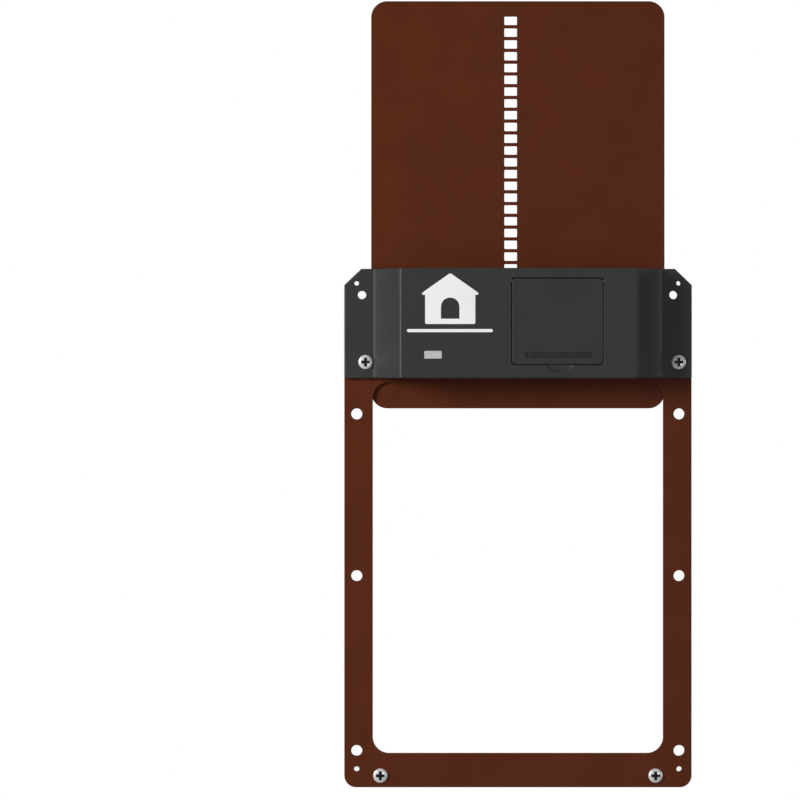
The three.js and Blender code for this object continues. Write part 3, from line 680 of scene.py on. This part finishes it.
# ---- screws and rails
def build_screw(name, head, rise, shank, length, way, finish):
    """A pan-head cross screw that points along +Y (way 1) or -Y (way -1), with its recess and thread.

    head and shank are radii, and rise is the head's height.
    """
    low, high = box(name)
    x, _, z = midpoint(low, high)
    top = low.y if way > 0 else high.y
    bend = 0.72
    angles = [math.radians(a) for a in range(0, 91, 10)]
    dome = [(head * math.sin(a) ** 0.8, rise * (bend - bend * math.cos(a))) for a in angles]
    profile = [*dome, (head, rise - 0.12), (head - 0.12, rise), (shank, rise)]
    pitch = shank * 0.45
    for i in range(int((length - 2 * shank) / pitch)):
        at = rise + pitch * (i + 0.5)
        profile += [(shank, at), (shank * 1.15, at + pitch / 4), (shank, at + pitch / 2)]
    profile += [(shank * 0.8, rise + length - shank), (0, rise + length)]
    body = lathe([(r, way * w) for r, w in profile], (x, top, z), "y", 40 if head > 3 else 24)

    long, short = head * 0.6, head * 0.19
    arm, cross = [(long, -short), (long, short), (short, short)], []
    for _ in range(4):
        cross += [(x + u, z + v) for u, v in arm]
        arm = [(-v, u) for u, v in arm]
    mouth, floor = way * 0.3, way * rise * 0.85
    levels = [(top - mouth, head * 0.022), (top + mouth, head * 0.01), (top + floor, -head * 0.06)]
    made = stand_in(name, combine(body, loft("y", cross, levels)), finish)

    def in_shaded_recess(p, normal):
        depth = (p.y - top) * way
        inward = Vector((x - p.x, 0, z - p.z)).dot(normal) > 0
        near = math.hypot(p.x - x, p.z - z) < long * 1.02
        return near and depth < rise and (depth > rise * 0.15 or inward)

    # Paints shade into the cross recess with the dark recess finish.
    recolour(made, RECESS_SHADE, in_shaded_recess)


# Head radius, head height, shank radius, shank length and way, for the screws out of sight.
SMALL_SCREWS = {
    (1.9, 1.2, 0.9, 3.2, 1): ("bracket_screw_1", "bracket_screw_2", "bearing_screw"),
    (2, 1.3, 0.8, 6, -1): ("board_screw_1", "board_screw_2"),
    (1.9, 1.2, 0.8, 4.5, -1): ("panel_screw_left", "panel_screw_right"),
}


def build_screws():
    for name in SCREW_PLACES:
        build_screw(name, 5.5, 2.4, 1.8, 6 if "sill" in name else 10, 1, CHROME)
    for sizes, names in SMALL_SCREWS.items():
        for name in names:
            build_screw(name, *sizes, STEEL)


def from_behind(x, z, radius, flare, steps=32):
    """A cutter for a hole through a rail, flared at the wall."""
    wall = 0.1
    return loft("y", circle(x, z, radius, steps), [(-6, 0), (wall - flare, 0), (wall, flare), (1, flare)])


def build_rails():
    outer, shoulder, lip, shelf = 131, 112.6, 110.9, -2.6
    for name, side in (("guide_rail_left", -1), ("guide_rail_right", 1)):
        low, high = box(name)
        section = [(outer, -5), (outer, 0), (lip, 0), (lip, shelf), (shoulder, shelf), (shoulder, -5)]
        outline = fillet([(side * x, y) for x, y in section], [0.3, 0.6, 0.6, 0.3, 0.3, 0.3], 3)
        cutters = [from_behind(side * FIXING_X, z, FIXING_RADIUS, 0.5, 40) for z in FIXING_HEIGHTS]
        cutters.append(from_behind(side * FIXING_X, SMALL_HEIGHT, SMALL_RADIUS, 0.4))
        cutters += [from_behind(*hole, 0.4) for hole in EAR_HOLES if hole[0] * side > 0]
        rail = combine(prism("z", outline, low.z, high.z, 0.2, steps=2), together(*cutters))
        inside = prism("y", frame_outline(0.5), -8, 1)
        stand_in(name, combine(rail, inside, "INTERSECT"), RAIL)

    low, high = box("sill_rail")
    stand_in("sill_rail", block(low, high, 0.3, 2), RAIL)

    low, high = box("back_plate")
    face, pad_inner, pad_outer = -1.9, 50, 90
    section = mirrored([(high.x, 0), (high.x, face), (pad_outer, face), (pad_outer, shelf),
                        (pad_inner, shelf), (pad_inner, face)])
    plate = prism("z", fillet(section, 0.2, 2), low.z, high.z, 0.15, steps=2)
    stand_in("back_plate", plate, RAIL)


# ---- cells, their holder and contacts
def cell_way(i):
    """1 where a cell's button end points to +X, and -1 where it points to -X."""
    return 1 if middle(f"battery_{i}").x > middle("battery_holder").x else -1


def build_cells():
    """Four dry cells: a dark sleeve with a copper band, rolled over two steel ends."""
    sleeve, band, end = 7.1, (36, 40.5), (0.45, 48.85)
    profile = [
        (0, 0.3), (5.2, 0.3), (5.6, 0), (6.2, 0), (6.5, 0.4), (6.8, end[0]), (7.0, 0.6), (sleeve, 1),
        (sleeve, band[0]), (sleeve, band[1]), (sleeve, 48.3), (7.0, 48.7), (6.8, end[1]), (6.4, 49.2),
        (3.4, 49.2), (2.9, 49.3), (2.6, 49.7), (2.6, 50.2), (2.3, 50.5), (0, 50.5),
    ]
    for i in range(1, 5):
        low, high = box(f"battery_{i}")
        way = cell_way(i)
        tail = low.x if way > 0 else high.x
        centre = (tail, *midpoint(low, high)[1:])
        body = lathe([(r, w * way) for r, w in profile], centre, "x", 48)
        made = stand_in(f"battery_{i}", body, CELL, name=f"cell_{i}_detail")
        recolour(made, COPPER, lambda p, n: band[0] < (p.x - tail) * way < band[1])
        recolour(made, STEEL, lambda p, n: not end[0] < (p.x - tail) * way < end[1])


def build_contacts():
    """A coil spring on a plate at each cell's flat end, and a dimpled plate at its button end."""
    wire, turns, steps, foot_radius, taper = 0.32, 4.25, 100, 3.5, 1.3
    for i in range(1, 5):
        low, high = box(f"contact_spring_{i}")
        way = cell_way(i)
        foot = low.x if way > 0 else high.x
        _, y, z = midpoint(low, high)
        rise = high.x - low.x - 2 * wire
        points = []
        for k in range(steps + 1):
            share = k / steps
            angle, radius = 2 * math.pi * turns * share, foot_radius - taper * share
            x = foot + way * (wire + rise * share)
            points.append((x, y + radius * math.cos(angle), z + radius * math.sin(angle)))
        start, end = sorted((foot, foot + way * 0.3))
        base = prism("x", centred(y, z, 3.8, 3.8, 0.8, 3), start, end, 0.08, steps=2)
        stand_in(f"contact_spring_{i}", together(sweep(points, wire, 8), base), STEEL)

        low, high = box(f"contact_plate_{i}")
        tab = prism("x", centred(y, z, 4, 4, 0.9, 4), low.x, high.x, 0.1, steps=2)
        face = high.x if way < 0 else low.x
        dimple = lathe([(0, -0.14), (1.2, -0.1), (1.8, 0.02), (0, 0.04)], (face, y, z), "x", 24)
        stand_in(f"contact_plate_{i}", combine(tab, dimple), STEEL)


def build_holder():
    """Two back-to-back trays with a web between them and a cradle ridge between each pair of cells."""
    low, high = box("battery_holder")
    x, spine, mid = midpoint(low, high)
    web, end, lid, ease = 0.7, 1.5, 1, 0.4
    inner = rectangle(low.x + end, low.z + lid, high.x - end, high.z - lid, 1.2, 4)
    front = [(low.y - 1, ease), (low.y, ease), (low.y + ease, 0), (spine - web, 0)]
    back = [(spine + web, 0), (high.y - ease, 0), (high.y, ease), (high.y + 1, ease)]
    trays = together(*(loft("y", inner, levels) for levels in (front, back)))
    holder = combine(block(low, high, 0.5), trays)
    for side in (-1, 1):
        foot, crest = spine + side * (web - 0.2), spine + side * (web + 2.8)
        ridge = [(foot, mid - 3.2), (crest, mid - 0.6), (crest, mid + 0.6), (foot, mid + 3.2)]
        holder = fused(holder, prism("x", ridge, low.x + 0.5, high.x - 0.5))
    thumb = circle(x, low.y, 7, 40)
    notches = [prism("z", thumb, z0, z1) for z0, z1 in ((low.z - 1, low.z + 2), (high.z - 2, high.z + 1))]
    stand_in("battery_holder", combine(holder, together(*notches)), BLACK, name="battery_tray")


# ---- controls under the flap
def build_panel():
    """The control panel: collared button holes, a switch slot and printed marks."""
    low, high = box("control_panel")
    front, back = low.y, -33
    button_x = [middle(name).x for name in BUTTONS]
    z = middle("button_open").z
    radius, collar, gap, window_collar = 3.7, 4.7, 0.15, 1.3
    holes = [circle(x, z, radius, 40) for x in button_x]
    holes.append(rectangle(*SWITCH_SLOT, 1, 5))
    holes += [circle(*place, 1.3, 20) for place in PANEL_SCREWS]
    plate = prism("y", front_of(low, high, 0.8, 4), front, back, 0.25, holes=holes)
    edges = [(circle(x, z, collar, 48), circle(x, z, radius - 0.08, 48)) for x in button_x]
    edges.append((rectangle(*grown(SWITCH_SLOT, window_collar), 1.8), rectangle(*grown(SWITCH_SLOT, gap), 1)))
    collars = [prism("y", outer, front - 0.5, front + 0.2, 0.25, 0, holes=[inner])
               for outer, inner in edges]
    feet = [block((x, back - 0.3, 342.6), (x + 3, high.y, 345.6), 0.3) for x in (4, 53)]
    stand_in("control_panel", fused(plate, *collars, *feet), BLACK)

    up, down, ring = button_x
    low_edge, high_edge, half = 343, 346, 2
    level = (low_edge + high_edge) / 2
    marks = [
        (fillet([(up - half, low_edge), (up + half, low_edge), (up, high_edge)], 0.3, 3), ()),
        (fillet([(down, low_edge), (down + half, high_edge), (down - half, high_edge)], 0.3, 3), ()),
        (circle(ring, level, 1.7), [circle(ring, level, 1.1)]),
        (rectangle(51, low_edge, 51.7, high_edge, 0.3, 3), ()),
    ]
    films = [printed(front, mark, 0.05, 0.02, holes) for mark, holes in marks]
    piece("control_marks", together(*films), PRINT)


def build_buttons():
    """Three dished silicone caps, the slide knob, and the switches behind them."""
    profile = [
        (0, 0.35), (1.4, 0.28), (2.3, 0.08), (2.8, 0), (3.15, 0.1), (3.4, 0.5), (3.4, 3.3), (3.6, 3.45),
        (4.3, 3.5), (4.4, 3.65), (4.4, 4.5), (4.3, 4.6), (3.4, 4.6), (3.3, 4.8), (0, 4.8),
    ]
    for node, body in BUTTONS.items():
        low, high = box(node)
        x, _, z = midpoint(low, high)
        cap = lathe(profile, (x, low.y, z), "y", 48)
        stand_in(node, cap, SILICONE, body, f"{node}_cap")

        switch = node.replace("button", "tact_switch")
        low, high = box(switch)
        inset, lid_depth, stem_radius = 0.15, 0.5, 1.7
        case = block((low.x, low.y + 0.35, low.z), high, 0.3)
        lid = block((low.x + inset, low.y + 0.05, low.z + inset),
                    (high.x - inset, low.y + lid_depth, high.z - inset), 0.12)
        stem = [(0, -0.2), (1.5, -0.2), (stem_radius, 0), (stem_radius, 0.4), (0, 0.4)]
        made = stand_in(switch, fused(case, lid, lathe(stem, (x, low.y, z))), BLACK)

        def on_lid(p, normal):
            return p.y < low.y + lid_depth and math.hypot(p.x - x, p.z - z) > stem_radius + 0.05

        recolour(made, STEEL, on_lid)

    low, high = box("power_switch_knob")
    x, _, z = midpoint(low, high)
    flange = block((low.x, high.y - 1.1, low.z), high, 0.2)
    knob = fused(flange, slab(x, z, 2.3, 2.6, low.y, high.y - 0.6, 0.4))
    pitch, half, depth = 0.9, 0.2, 0.45
    grooves = []
    for k in (-2, -1, 0, 1, 2):
        at = x + k * pitch
        groove = rectangle(at - half, low.y - 1, at + half, low.y + depth, 0.12, 3)
        grooves.append(prism("z", groove, z - 3, z + 3))
    knob = combine(knob, together(*grooves))
    stand_in("power_switch_knob", knob, BLACK, "power_switch", "power_switch_slider")

    low, high = box("power_switch_body")
    case = block((low.x, low.y + 0.2, low.z), high, 0.35)
    slot = block((low.x + 1.6, low.y - 1, low.z + 2.4), (high.x - 1.6, low.y + 1.6, high.z - 2.4), 0.3)
    tabs = [block((x0, low.y + 0.1, z0), (x0 + 1.2, low.y + 0.5, z0 + 1.4), 0.12)
            for x0 in (low.x + 0.8, high.x - 2) for z0 in (low.z + 0.3, high.z - 1.7)]
    shell = together(combine(case, slot), *tabs)
    stand_in("power_switch_body", shell, STEEL, name="power_switch_shell")


# ---- boards
def chip(x, z, front, wide, tall, thick, legs):
    """A moulded package with gull-wing legs down both sides, its back against a board's front."""
    body = slab(x, z, wide / 2, tall / 2, front - thick, front - 0.15, 0.2)
    dot = lathe([(0, -0.2), (0.45, -0.2), (0.45, 0.15), (0, 0.15)],
                (x - wide / 2 + 1.2, front - thick, z + tall / 2 - 1.2), "y", 16)
    pins = []
    for i in range(legs):
        level = z - tall / 2 + (i + 0.5) * tall / legs
        for side in (-1, 1):
            near, far = sorted((x + side * (wide / 2 - 0.2), x + side * (wide / 2 + 1.1)))
            pins.append(block((near, front - 0.3, level - 0.18), (far, front - 0.02, level + 0.18), 0.08, 2))
    return combine(body, dot), pins


def can(x, z, front, radius, tall):
    """An electrolytic capacitor standing on a board, with its pinched foot and scored top."""
    top = front - tall
    profile = [
        (0, top + 0.15), (radius - 0.7, top + 0.15), (radius - 0.5, top), (radius - 0.25, top),
        (radius, top + 0.25), (radius, front - 1.4), (radius - 0.3, front - 1.1), (radius, front - 0.8),
        (radius, front - 0.05), (0, front - 0.05),
    ]
    return lathe(profile, (x, 0, z), "y", 36)


# Packages on the main board: middle, width, height, thickness and legs; then cans and sockets.
CHIPS = ((-52, 358, 10, 12, 1.6, 8), (-33, 342, 6, 8, 1.5, 4), (-72, 352, 5, 6, 1.4, 4))
CANS = ((-28, 378, 4, 8), (-40, 377, 3, 6.5), (-76, 334, 3, 6.5))
SOCKETS = ((-46, 333, 9), (-24, 362, 7))


def board_plate(node, holes=()):
    low, high = box(node)
    outline = front_of(low, high, 0.6, 3)
    stand_in(node, prism("y", outline, low.y, high.y, 0.12, steps=2, holes=holes), BOARD)


def build_main_board():
    """The main board with its packages, terminals and sockets."""
    board_plate("main_board", [circle(*place, 1.3, 20) for place in BOARD_SCREWS])
    front = box("main_board")[0].y
    seated = front - 0.05
    dark, bright, pale = [], [], []
    for x, z, *sizes in CHIPS:
        body, pins = chip(x, z, front, *sizes)
        dark.append(body)
        bright += pins
    dark += [can(x, z, front, radius, tall) for x, z, radius, tall in CANS]
    bright.append(block((-66, front - 3.4, 371), (-56, seated, 375), 1.2, 4))
    columns, rows, half = 3, 3, 0.7
    first_x, first_z, step_x, step_z = -78, 362, 6.6, 3.2
    for i in range(columns * rows):
        x, z = first_x + step_x * (i % columns), first_z + step_z * (i // columns)
        dark.append(slab(x, z, half, half, front - 0.6, seated, 0.1, 2))
        bright += [slab(x + side * 1.1, z, half / 2, half, front - 0.5, seated, 0.1, 2) for side in (-1, 1)]
    for x, z, wide in SOCKETS:
        shroud = slab(x, z, wide / 2, 2.6, front - 6, seated, 0.4)
        pocket = slab(x, z, wide / 2 - 0.8, 1.8, front - 7, front - 1.2, 0.2)
        pale.append(combine(shroud, pocket))
    piece("main_board_packages", together(*dark), BLACK)
    piece("main_board_terminals", together(*bright), STEEL)
    piece("main_board_sockets", together(*pale), NYLON)


def build_control_board():
    """The board behind the buttons with its solder joints, the light sensor and the ribbon cable."""
    board_plate("control_board")
    back = box("control_board")[1].y
    joint = [(0, 0.4), (0.35, 0.3), (0.7, 0.02), (0, 0.01)]
    joints = []
    for name in BUTTONS:
        x, z = middle(name).x, middle(name).z
        joints += [lathe(joint, (x + side * 3.2, back, z + level), "y", 16)
                   for side in (-1, 1) for level in (-2.2, 2.2)]
    piece("control_board_solder", together(*joints), STEEL)

    profile = [(0, 0), (0.9, 0.15), (1.7, 0.6), (2.2, 1.4), (2.3, 2.4), (2.3, 7.6), (2.5, 7.8), (2.5, 8.8),
               (2.2, 9), (0.4, 9), (0.4, 11), (0, 11)]
    centre = middle("light_sensor")
    lens = lathe(profile, (centre.x, box("light_sensor")[0].y, centre.z), "y", 36)
    stand_in("light_sensor", lens, WINDOW, name="light_sensor_lens")

    low, high = box("ribbon_cable")
    run = [(-20, -25.4), (-13.5, -25.4), (1.5, -26), (6, -26),
           (6, -25.6), (1.7, -25.6), (-13.3, -25), (-20, -25)]
    count = 7
    pitch = (high.z - low.z) / count
    wires = [prism("z", run, low.z + k * pitch, low.z + (k + 0.97) * pitch, 0.13, steps=2)
             for k in range(count)]
    stand_in("ribbon_cable", together(*wires), NYLON)


# ---- drive
def toothed(y, z, root, tip, teeth):
    """A small gear's outline: straight-sided teeth on a round body."""
    out = []
    for i in range(teeth):
        for share, radius in ((-0.3, root), (-0.16, tip), (0.16, tip), (0.3, root)):
            angle = 2 * math.pi * (i + share) / teeth
            out.append((y + radius * math.cos(angle), z + radius * math.sin(angle)))
    return out


def pinion_outline(y, z):
    """Six long round-nosed teeth that reach into the door's slots, one of them pointing at the door."""
    teeth, root, half, nose, tip = 6, 5.2, 3.1, 1.6, 9.8
    tooth = [(root, -half), *arc(tip - nose, 0, nose, -90, 90, 8), (root, half)]
    out = []
    for i in range(teeth):
        turn = 2 * math.pi * i / teeth
        out += [(y + u * math.cos(turn) - v * math.sin(turn), z + u * math.sin(turn) + v * math.cos(turn))
                for u, v in tooth]
    return out


def rod(left, right, centre, radius, bevel, steps):
    """A round bar along X with its ends broken."""
    end = radius - bevel
    profile = [
        (0, left), (end, left), (radius, left + bevel),
        (radius, right - bevel), (end, right), (0, right),
    ]
    return lathe(profile, (0, *centre), "x", steps)


def build_pinion():
    """The pinion with a ring sunk in each face, on its shaft with a flat."""
    low, high = box("pinion")
    axis = middle("drive_shaft")
    centre = (axis.y, axis.z)
    web = prism("x", pinion_outline(*centre), low.x, high.x, 0.25, steps=2, holes=[circle(*centre, 1.65)])
    for face, way in ((low.x, -1), (high.x, 1)):
        levels = [(face + way, 0.1), (face, 0.1), (face - way * 0.8, 0)]
        web = combine(web, loft("x", circle(*centre, 4.6, 40), levels, [circle(*centre, 2.7)]))
    stand_in("pinion", web, NYLON, "pinion_unit")

    low, high = box("drive_shaft")
    flat = block((low.x + 6, axis.y + 1.05, axis.z - 2), (high.x - 4, axis.y + 2, axis.z + 2))
    shaft = combine(rod(low.x, high.x, centre, 1.5, 0.3, 40), flat)
    stand_in("drive_shaft", shaft, STEEL, "pinion_unit")


def build_motor():
    """A small gearmotor: brass end plates on posts round a gear train, a steel can and its end cap."""
    low, high = box("gearbox")
    axis = middle("drive_shaft")
    centre = (axis.y, axis.z)
    face = side_of(low, high, 1, 5)
    plates = [
        prism("x", face, low.x, low.x + 0.9, 0.1, steps=2),
        prism("x", face, high.x - 1, high.x, 0.1, steps=2, holes=[circle(*centre, 1.55, 24)]),
    ]
    inset = 1.2
    corners = [(low.y + inset, low.z + inset), (high.y - inset, low.z + inset), (axis.y, high.z - inset)]
    posts = [prism("x", circle(y, z, 0.85, 20), low.x + 0.7, high.x - 0.8) for y, z in corners]
    # Each wheel: place from the shaft, root and tip radii, teeth, and its two ends from the gearbox's left.
    wheels = ((0, 2.2, 2.1, 2.7, 14, 1.5, 2.7), (-1.5, -1.6, 2, 2.6, 13, 3.2, 4.4),
              (1.3, -0.8, 2.2, 2.8, 14, 4.8, 5.8))
    train = [
        prism("x", toothed(axis.y + y, axis.z + z, *sizes), low.x + start, low.x + end, 0.1, steps=1)
        for y, z, *sizes, start, end in wheels
    ]
    hub = prism("x", circle(*centre, 2.4), high.x - 1.9, high.x - 0.9, holes=[circle(*centre, 1.6, 24)])
    stand_in("gearbox", together(*plates, *posts, hub, *train), BRASS, name="gearbox_plates")

    low, high = box("motor_can")
    radius = 6
    spread = math.degrees(math.asin((high.y - low.y) / 2 / radius))
    ends = [(90 + spread, 90 - spread), (spread - 90, -spread - 90)]
    outline = [point for start, end in ends for point in arc(*centre, radius, start, end, 12)]
    vents = [block((low.x + 3, axis.y - 1.2, axis.z + side * radius - 0.35),
                   (low.x + 8, axis.y + 1.2, axis.z + side * radius + 0.35), 0.3) for side in (-1, 1)]
    shell = combine(prism("x", outline, low.x, high.x, 0.4), together(*vents))
    stand_in("motor_can", shell, STEEL)

    low, high = box("motor_end_cap")
    radius = (high.z - low.z) / 2
    profile = [(0, 0.2), (1.4, 0.2), (1.5, 0), (2.2, 0), (2.4, 0.7), (radius - 0.4, 0.8), (radius, 1.1),
               (radius, 2), (0, 2)]
    cap = lathe(profile, (low.x, *centre), "x", 40)
    tag, thin = 3.2, 0.15
    tags = [block((low.x - 0.2, axis.y - 0.9, axis.z + side * tag - thin),
                  (low.x + 1.2, axis.y + 0.9, axis.z + side * tag + thin), 0.1, 2) for side in (-1, 1)]
    made = stand_in("motor_end_cap", together(cap, *tags), BLACK)

    def on_tag(p, normal):
        return 3 < abs(p.z - axis.z) < 3.4 and abs(p.y - axis.y) < 0.95 and p.x < low.x + 0.75

    recolour(made, BRASS, on_tag)


def build_mountings():
    """The folded bracket that carries the gearbox and the block that carries the shaft's far end."""
    axis = middle("drive_shaft")
    centre = (axis.y, axis.z)
    thick, shaft_clearance, screw_hole = 1.5, 2.4, 1.2
    wall_left, pillar_right = -12.9, 4.6
    low, high = box("motor_bracket")
    wall = prism("x", side_of(low, high, 1.2, 5), wall_left, high.x, 0.15, steps=2)
    foot = rectangle(low.x, axis.z + 12, high.x, high.z, 1.2, 5)
    bracket = fused(wall, prism("y", foot, high.y - thick, high.y, 0.15, steps=2))
    eased = [(high.y - 3, 0.2), (high.y - thick, 0.15), (high.y - 1.3, 0), (high.y + 1, 0)]
    cutters = [prism("x", circle(*centre, shaft_clearance), -14, -11)]
    cutters += [loft("y", circle(*place, screw_hole, 20), eased) for place in BRACKET_SCREWS]
    stand_in("motor_bracket", combine(bracket, together(*cutters)), STEEL)

    low, high = box("shaft_bearing")
    pillar = rectangle(axis.y - 4.2, axis.z - 4.4, high.y, axis.z + 4.4, 1, 5)
    foot = rectangle(low.x, axis.z + 4, high.x, high.z, 1, 5)
    bearing = fused(prism("x", pillar, low.x, pillar_right, 0.3),
                    prism("y", foot, high.y - thick, high.y, 0.2))
    bore = loft("x", circle(*centre, 1.57), [(low.x - 1, 0.35), (low.x, 0.3), (low.x + 0.3, 0), (6, 0)])
    hole = prism("y", circle(*BEARING_SCREW, screw_hole, 20), high.y - 3, high.y + 1)
    stand_in("shaft_bearing", combine(bearing, together(bore, hole)), BLACK)


# ---- seals, pin and leads
def build_trim():
    low, high = box("flap_pin")
    centre = middle("flap_pin")
    stand_in("flap_pin", rod(low.x, high.x, (centre.y, centre.z), 0.7, 0.2, 24), STEEL)

    low, high = box("flap_seal")
    left, bottom, right, _ = LIP
    path = [(low.x, high.z), (low.x, low.z), (high.x, low.z), (high.x, high.z), (right, high.z),
            (right, bottom), (left, bottom), (left, high.z)]
    outline = fillet(path, [0.4, 1.5, 1.5, 0.4, 0.4, 1.2, 1.2, 0.4], 5)
    stand_in("flap_seal", prism("y", outline, low.y, high.y, 0.2, 0), RUBBER)

    low, high = box("casing_gasket")
    holes = [rectangle(*GASKET_HOLE, 2, 5), *(circle(x, z, r, 20) for x, z, r in EAR_HOLES)]
    holes += [circle(p.x, p.z, CLEAR_HOLE, 20) for p in EAR_SCREWS]
    outline = chamfered(high.x, low.z, high.z, 1)
    stand_in("casing_gasket", prism("y", outline, low.y, high.y, 0.3, steps=2, holes=holes), RUBBER)


def spline(points, steps):
    """Points on a smooth curve through all of the given ones."""
    path = [Vector(p) for p in points]
    path = [2 * path[0] - path[1], *path, 2 * path[-1] - path[-2]]
    out = []
    for i in range(1, len(path) - 2):
        a, b, c, d = path[i - 1:i + 3]
        for k in range(steps):
            t = k / steps
            out.append(0.5 * (2 * b + (c - a) * t + (2 * a - 5 * b + 4 * c - d) * t ** 2
                              + (3 * b - a - 3 * c + d) * t ** 3))
    return [*out, path[-2]]


LEADS = {
    "motor_lead_red": [(-39.8, -12.5, 326), (-43, -13, 328), (-45, -18, 333), (-45, -25, 336)],
    "motor_lead_black": [(-39.8, -12.5, 322), (-45, -13, 323), (-48, -18, 330), (-48, -25, 334)],
    "battery_lead_red": [(1.1, -23.4, 377), (-5, -22, 377), (-14, -22.4, 372), (-18, -25, 370)],
    "battery_lead_black": [(1.1, -23.4, 358), (-5, -21, 358), (-14, -21.6, 356), (-18, -25, 355)],
}


def build_leads():
    """Insulated wires with tinned ends, on the same routes as the CAD leads."""
    radius, tinned = 0.6, 0.75
    for name, points in LEADS.items():
        route = spline(points, 10)
        first, last = route[0], route[-1]
        jacket = sweep(route[1:-1], radius, 16)
        core = sweep(route, radius * 0.5, 10)
        bead = ball(last + Vector((0, 0.1, 0)), 0.9, (1, 0.5, 1), 16, 10)
        made = stand_in(name, together(jacket, core, bead), RED_PVC if "red" in name else BLACK_PVC)
        recolour(made, STEEL, lambda p, n: min((p - first).length, (p - last).length) < tinned)


# ---- stage, light and camera
def build_floor():
    """A floor that is pale to the eye, and dim in what it throws back on the object."""
    glow, size, height = 0.62, 6, CAD_BOX[0][2] - 0.6
    material = surface("pale_floor", (150, 150, 150), 0.8, mottle=0.02, mottle_scale=3)
    tree = material.node_tree
    add = adder(tree)
    shader = tree.nodes["Principled BSDF"].inputs
    lift = add("Math", {0: add("LightPath")["Is Camera Ray"], 1: glow}, "MULTIPLY")["Value"]
    tree.links.new(lift, shader["Emission Strength"])
    shader["Emission Color"].default_value = (1, 1, 1, 1)

    corners = [(x, y, height) for x, y in ((-size, -size), (size, -size), (size, size), (-size, size))]
    data = bpy.data.meshes.new("floor")
    data.from_pydata(corners, [], [(0, 1, 2, 3)])
    data.materials.append(material)
    made = bpy.data.objects.new("floor", data)
    bpy.context.scene.collection.objects.link(made)


def build_world():
    """A white background that lights the object only a little."""
    world = bpy.data.worlds.new("studio")
    world.use_nodes = True
    tree = world.node_tree
    add = adder(tree)
    white, dim = (1, 1, 1, 1), 0.21
    seen = tree.nodes["Background"]
    seen.inputs["Color"].default_value = white
    seen.inputs["Strength"].default_value = 1
    lighting = add("Background", {"Color": white, "Strength": dim})["Background"]
    is_camera = add("LightPath")["Is Camera Ray"]
    choice = add("MixShader", {0: is_camera, 1: lighting, 2: seen.outputs["Background"]})["Shader"]
    tree.links.new(choice, tree.nodes["World Output"].inputs["Surface"])
    bpy.context.scene.world = world


# Place and size in metres, and power in watts.
LIGHTS = {
    "key": ((-2.0, -1.35, 0.85), (0.8, 0.8), 59),
    "fill": ((0.8, -2.4, 0.1), (1.0, 1.0), 5.5),
    "side": ((2.2, -0.3, 0.5), (0.8, 1.4), 7),
    "back": ((1.1, 2.4, 0.25), (1.4, 1.4), 37),
    "top": ((0.2, 0.6, 2.6), (1.0, 1.0), 10),
}


def build_lights():
    """Area lights that all aim at the casing's height."""
    target = Vector((0, 0, 0.3))
    for name, (place, size, power) in LIGHTS.items():
        data = bpy.data.lights.new(name, "AREA")
        data.shape = "RECTANGLE"
        data.size, data.size_y = size
        data.energy = power
        made = bpy.data.objects.new(name, data)
        made.location = place
        made.rotation_euler = (target - Vector(place)).to_track_quat("-Z", "Y").to_euler()
        bpy.context.scene.collection.objects.link(made)


def build_camera():
    """Level with the middle of the whole object and a little to its left, from far away."""
    width, distance, left, level = 0.6104, 4.0, 0.090, 0.2955
    data = bpy.data.cameras.new("camera")
    data.sensor_width = 36
    data.lens = data.sensor_width * distance / width
    data.clip_end = 50
    made = bpy.data.objects.new("camera", data)
    made.location = (-left, SHEET_LOW.y * MM - distance, BASE + level)
    made.rotation_euler = (math.pi / 2, 0, 0)
    bpy.context.scene.collection.objects.link(made)
    bpy.context.scene.camera = made


for build in (
    build_sheet, build_door, build_casing, build_flap, build_window, build_emblem, build_screws,
    build_rails, build_cells, build_contacts, build_holder, build_panel, build_buttons,
    build_main_board, build_control_board, build_pinion, build_motor, build_mountings, build_trim,
    build_leads,
):
    build()

for node, made in frame["nodes"].items():
    made.material_slots[0].material = SLOT_LOOKS[SLOT_OF[node]]

build_floor()
build_world()
build_lights()
build_camera()
bpy.context.scene.view_settings.view_transform = "Standard"
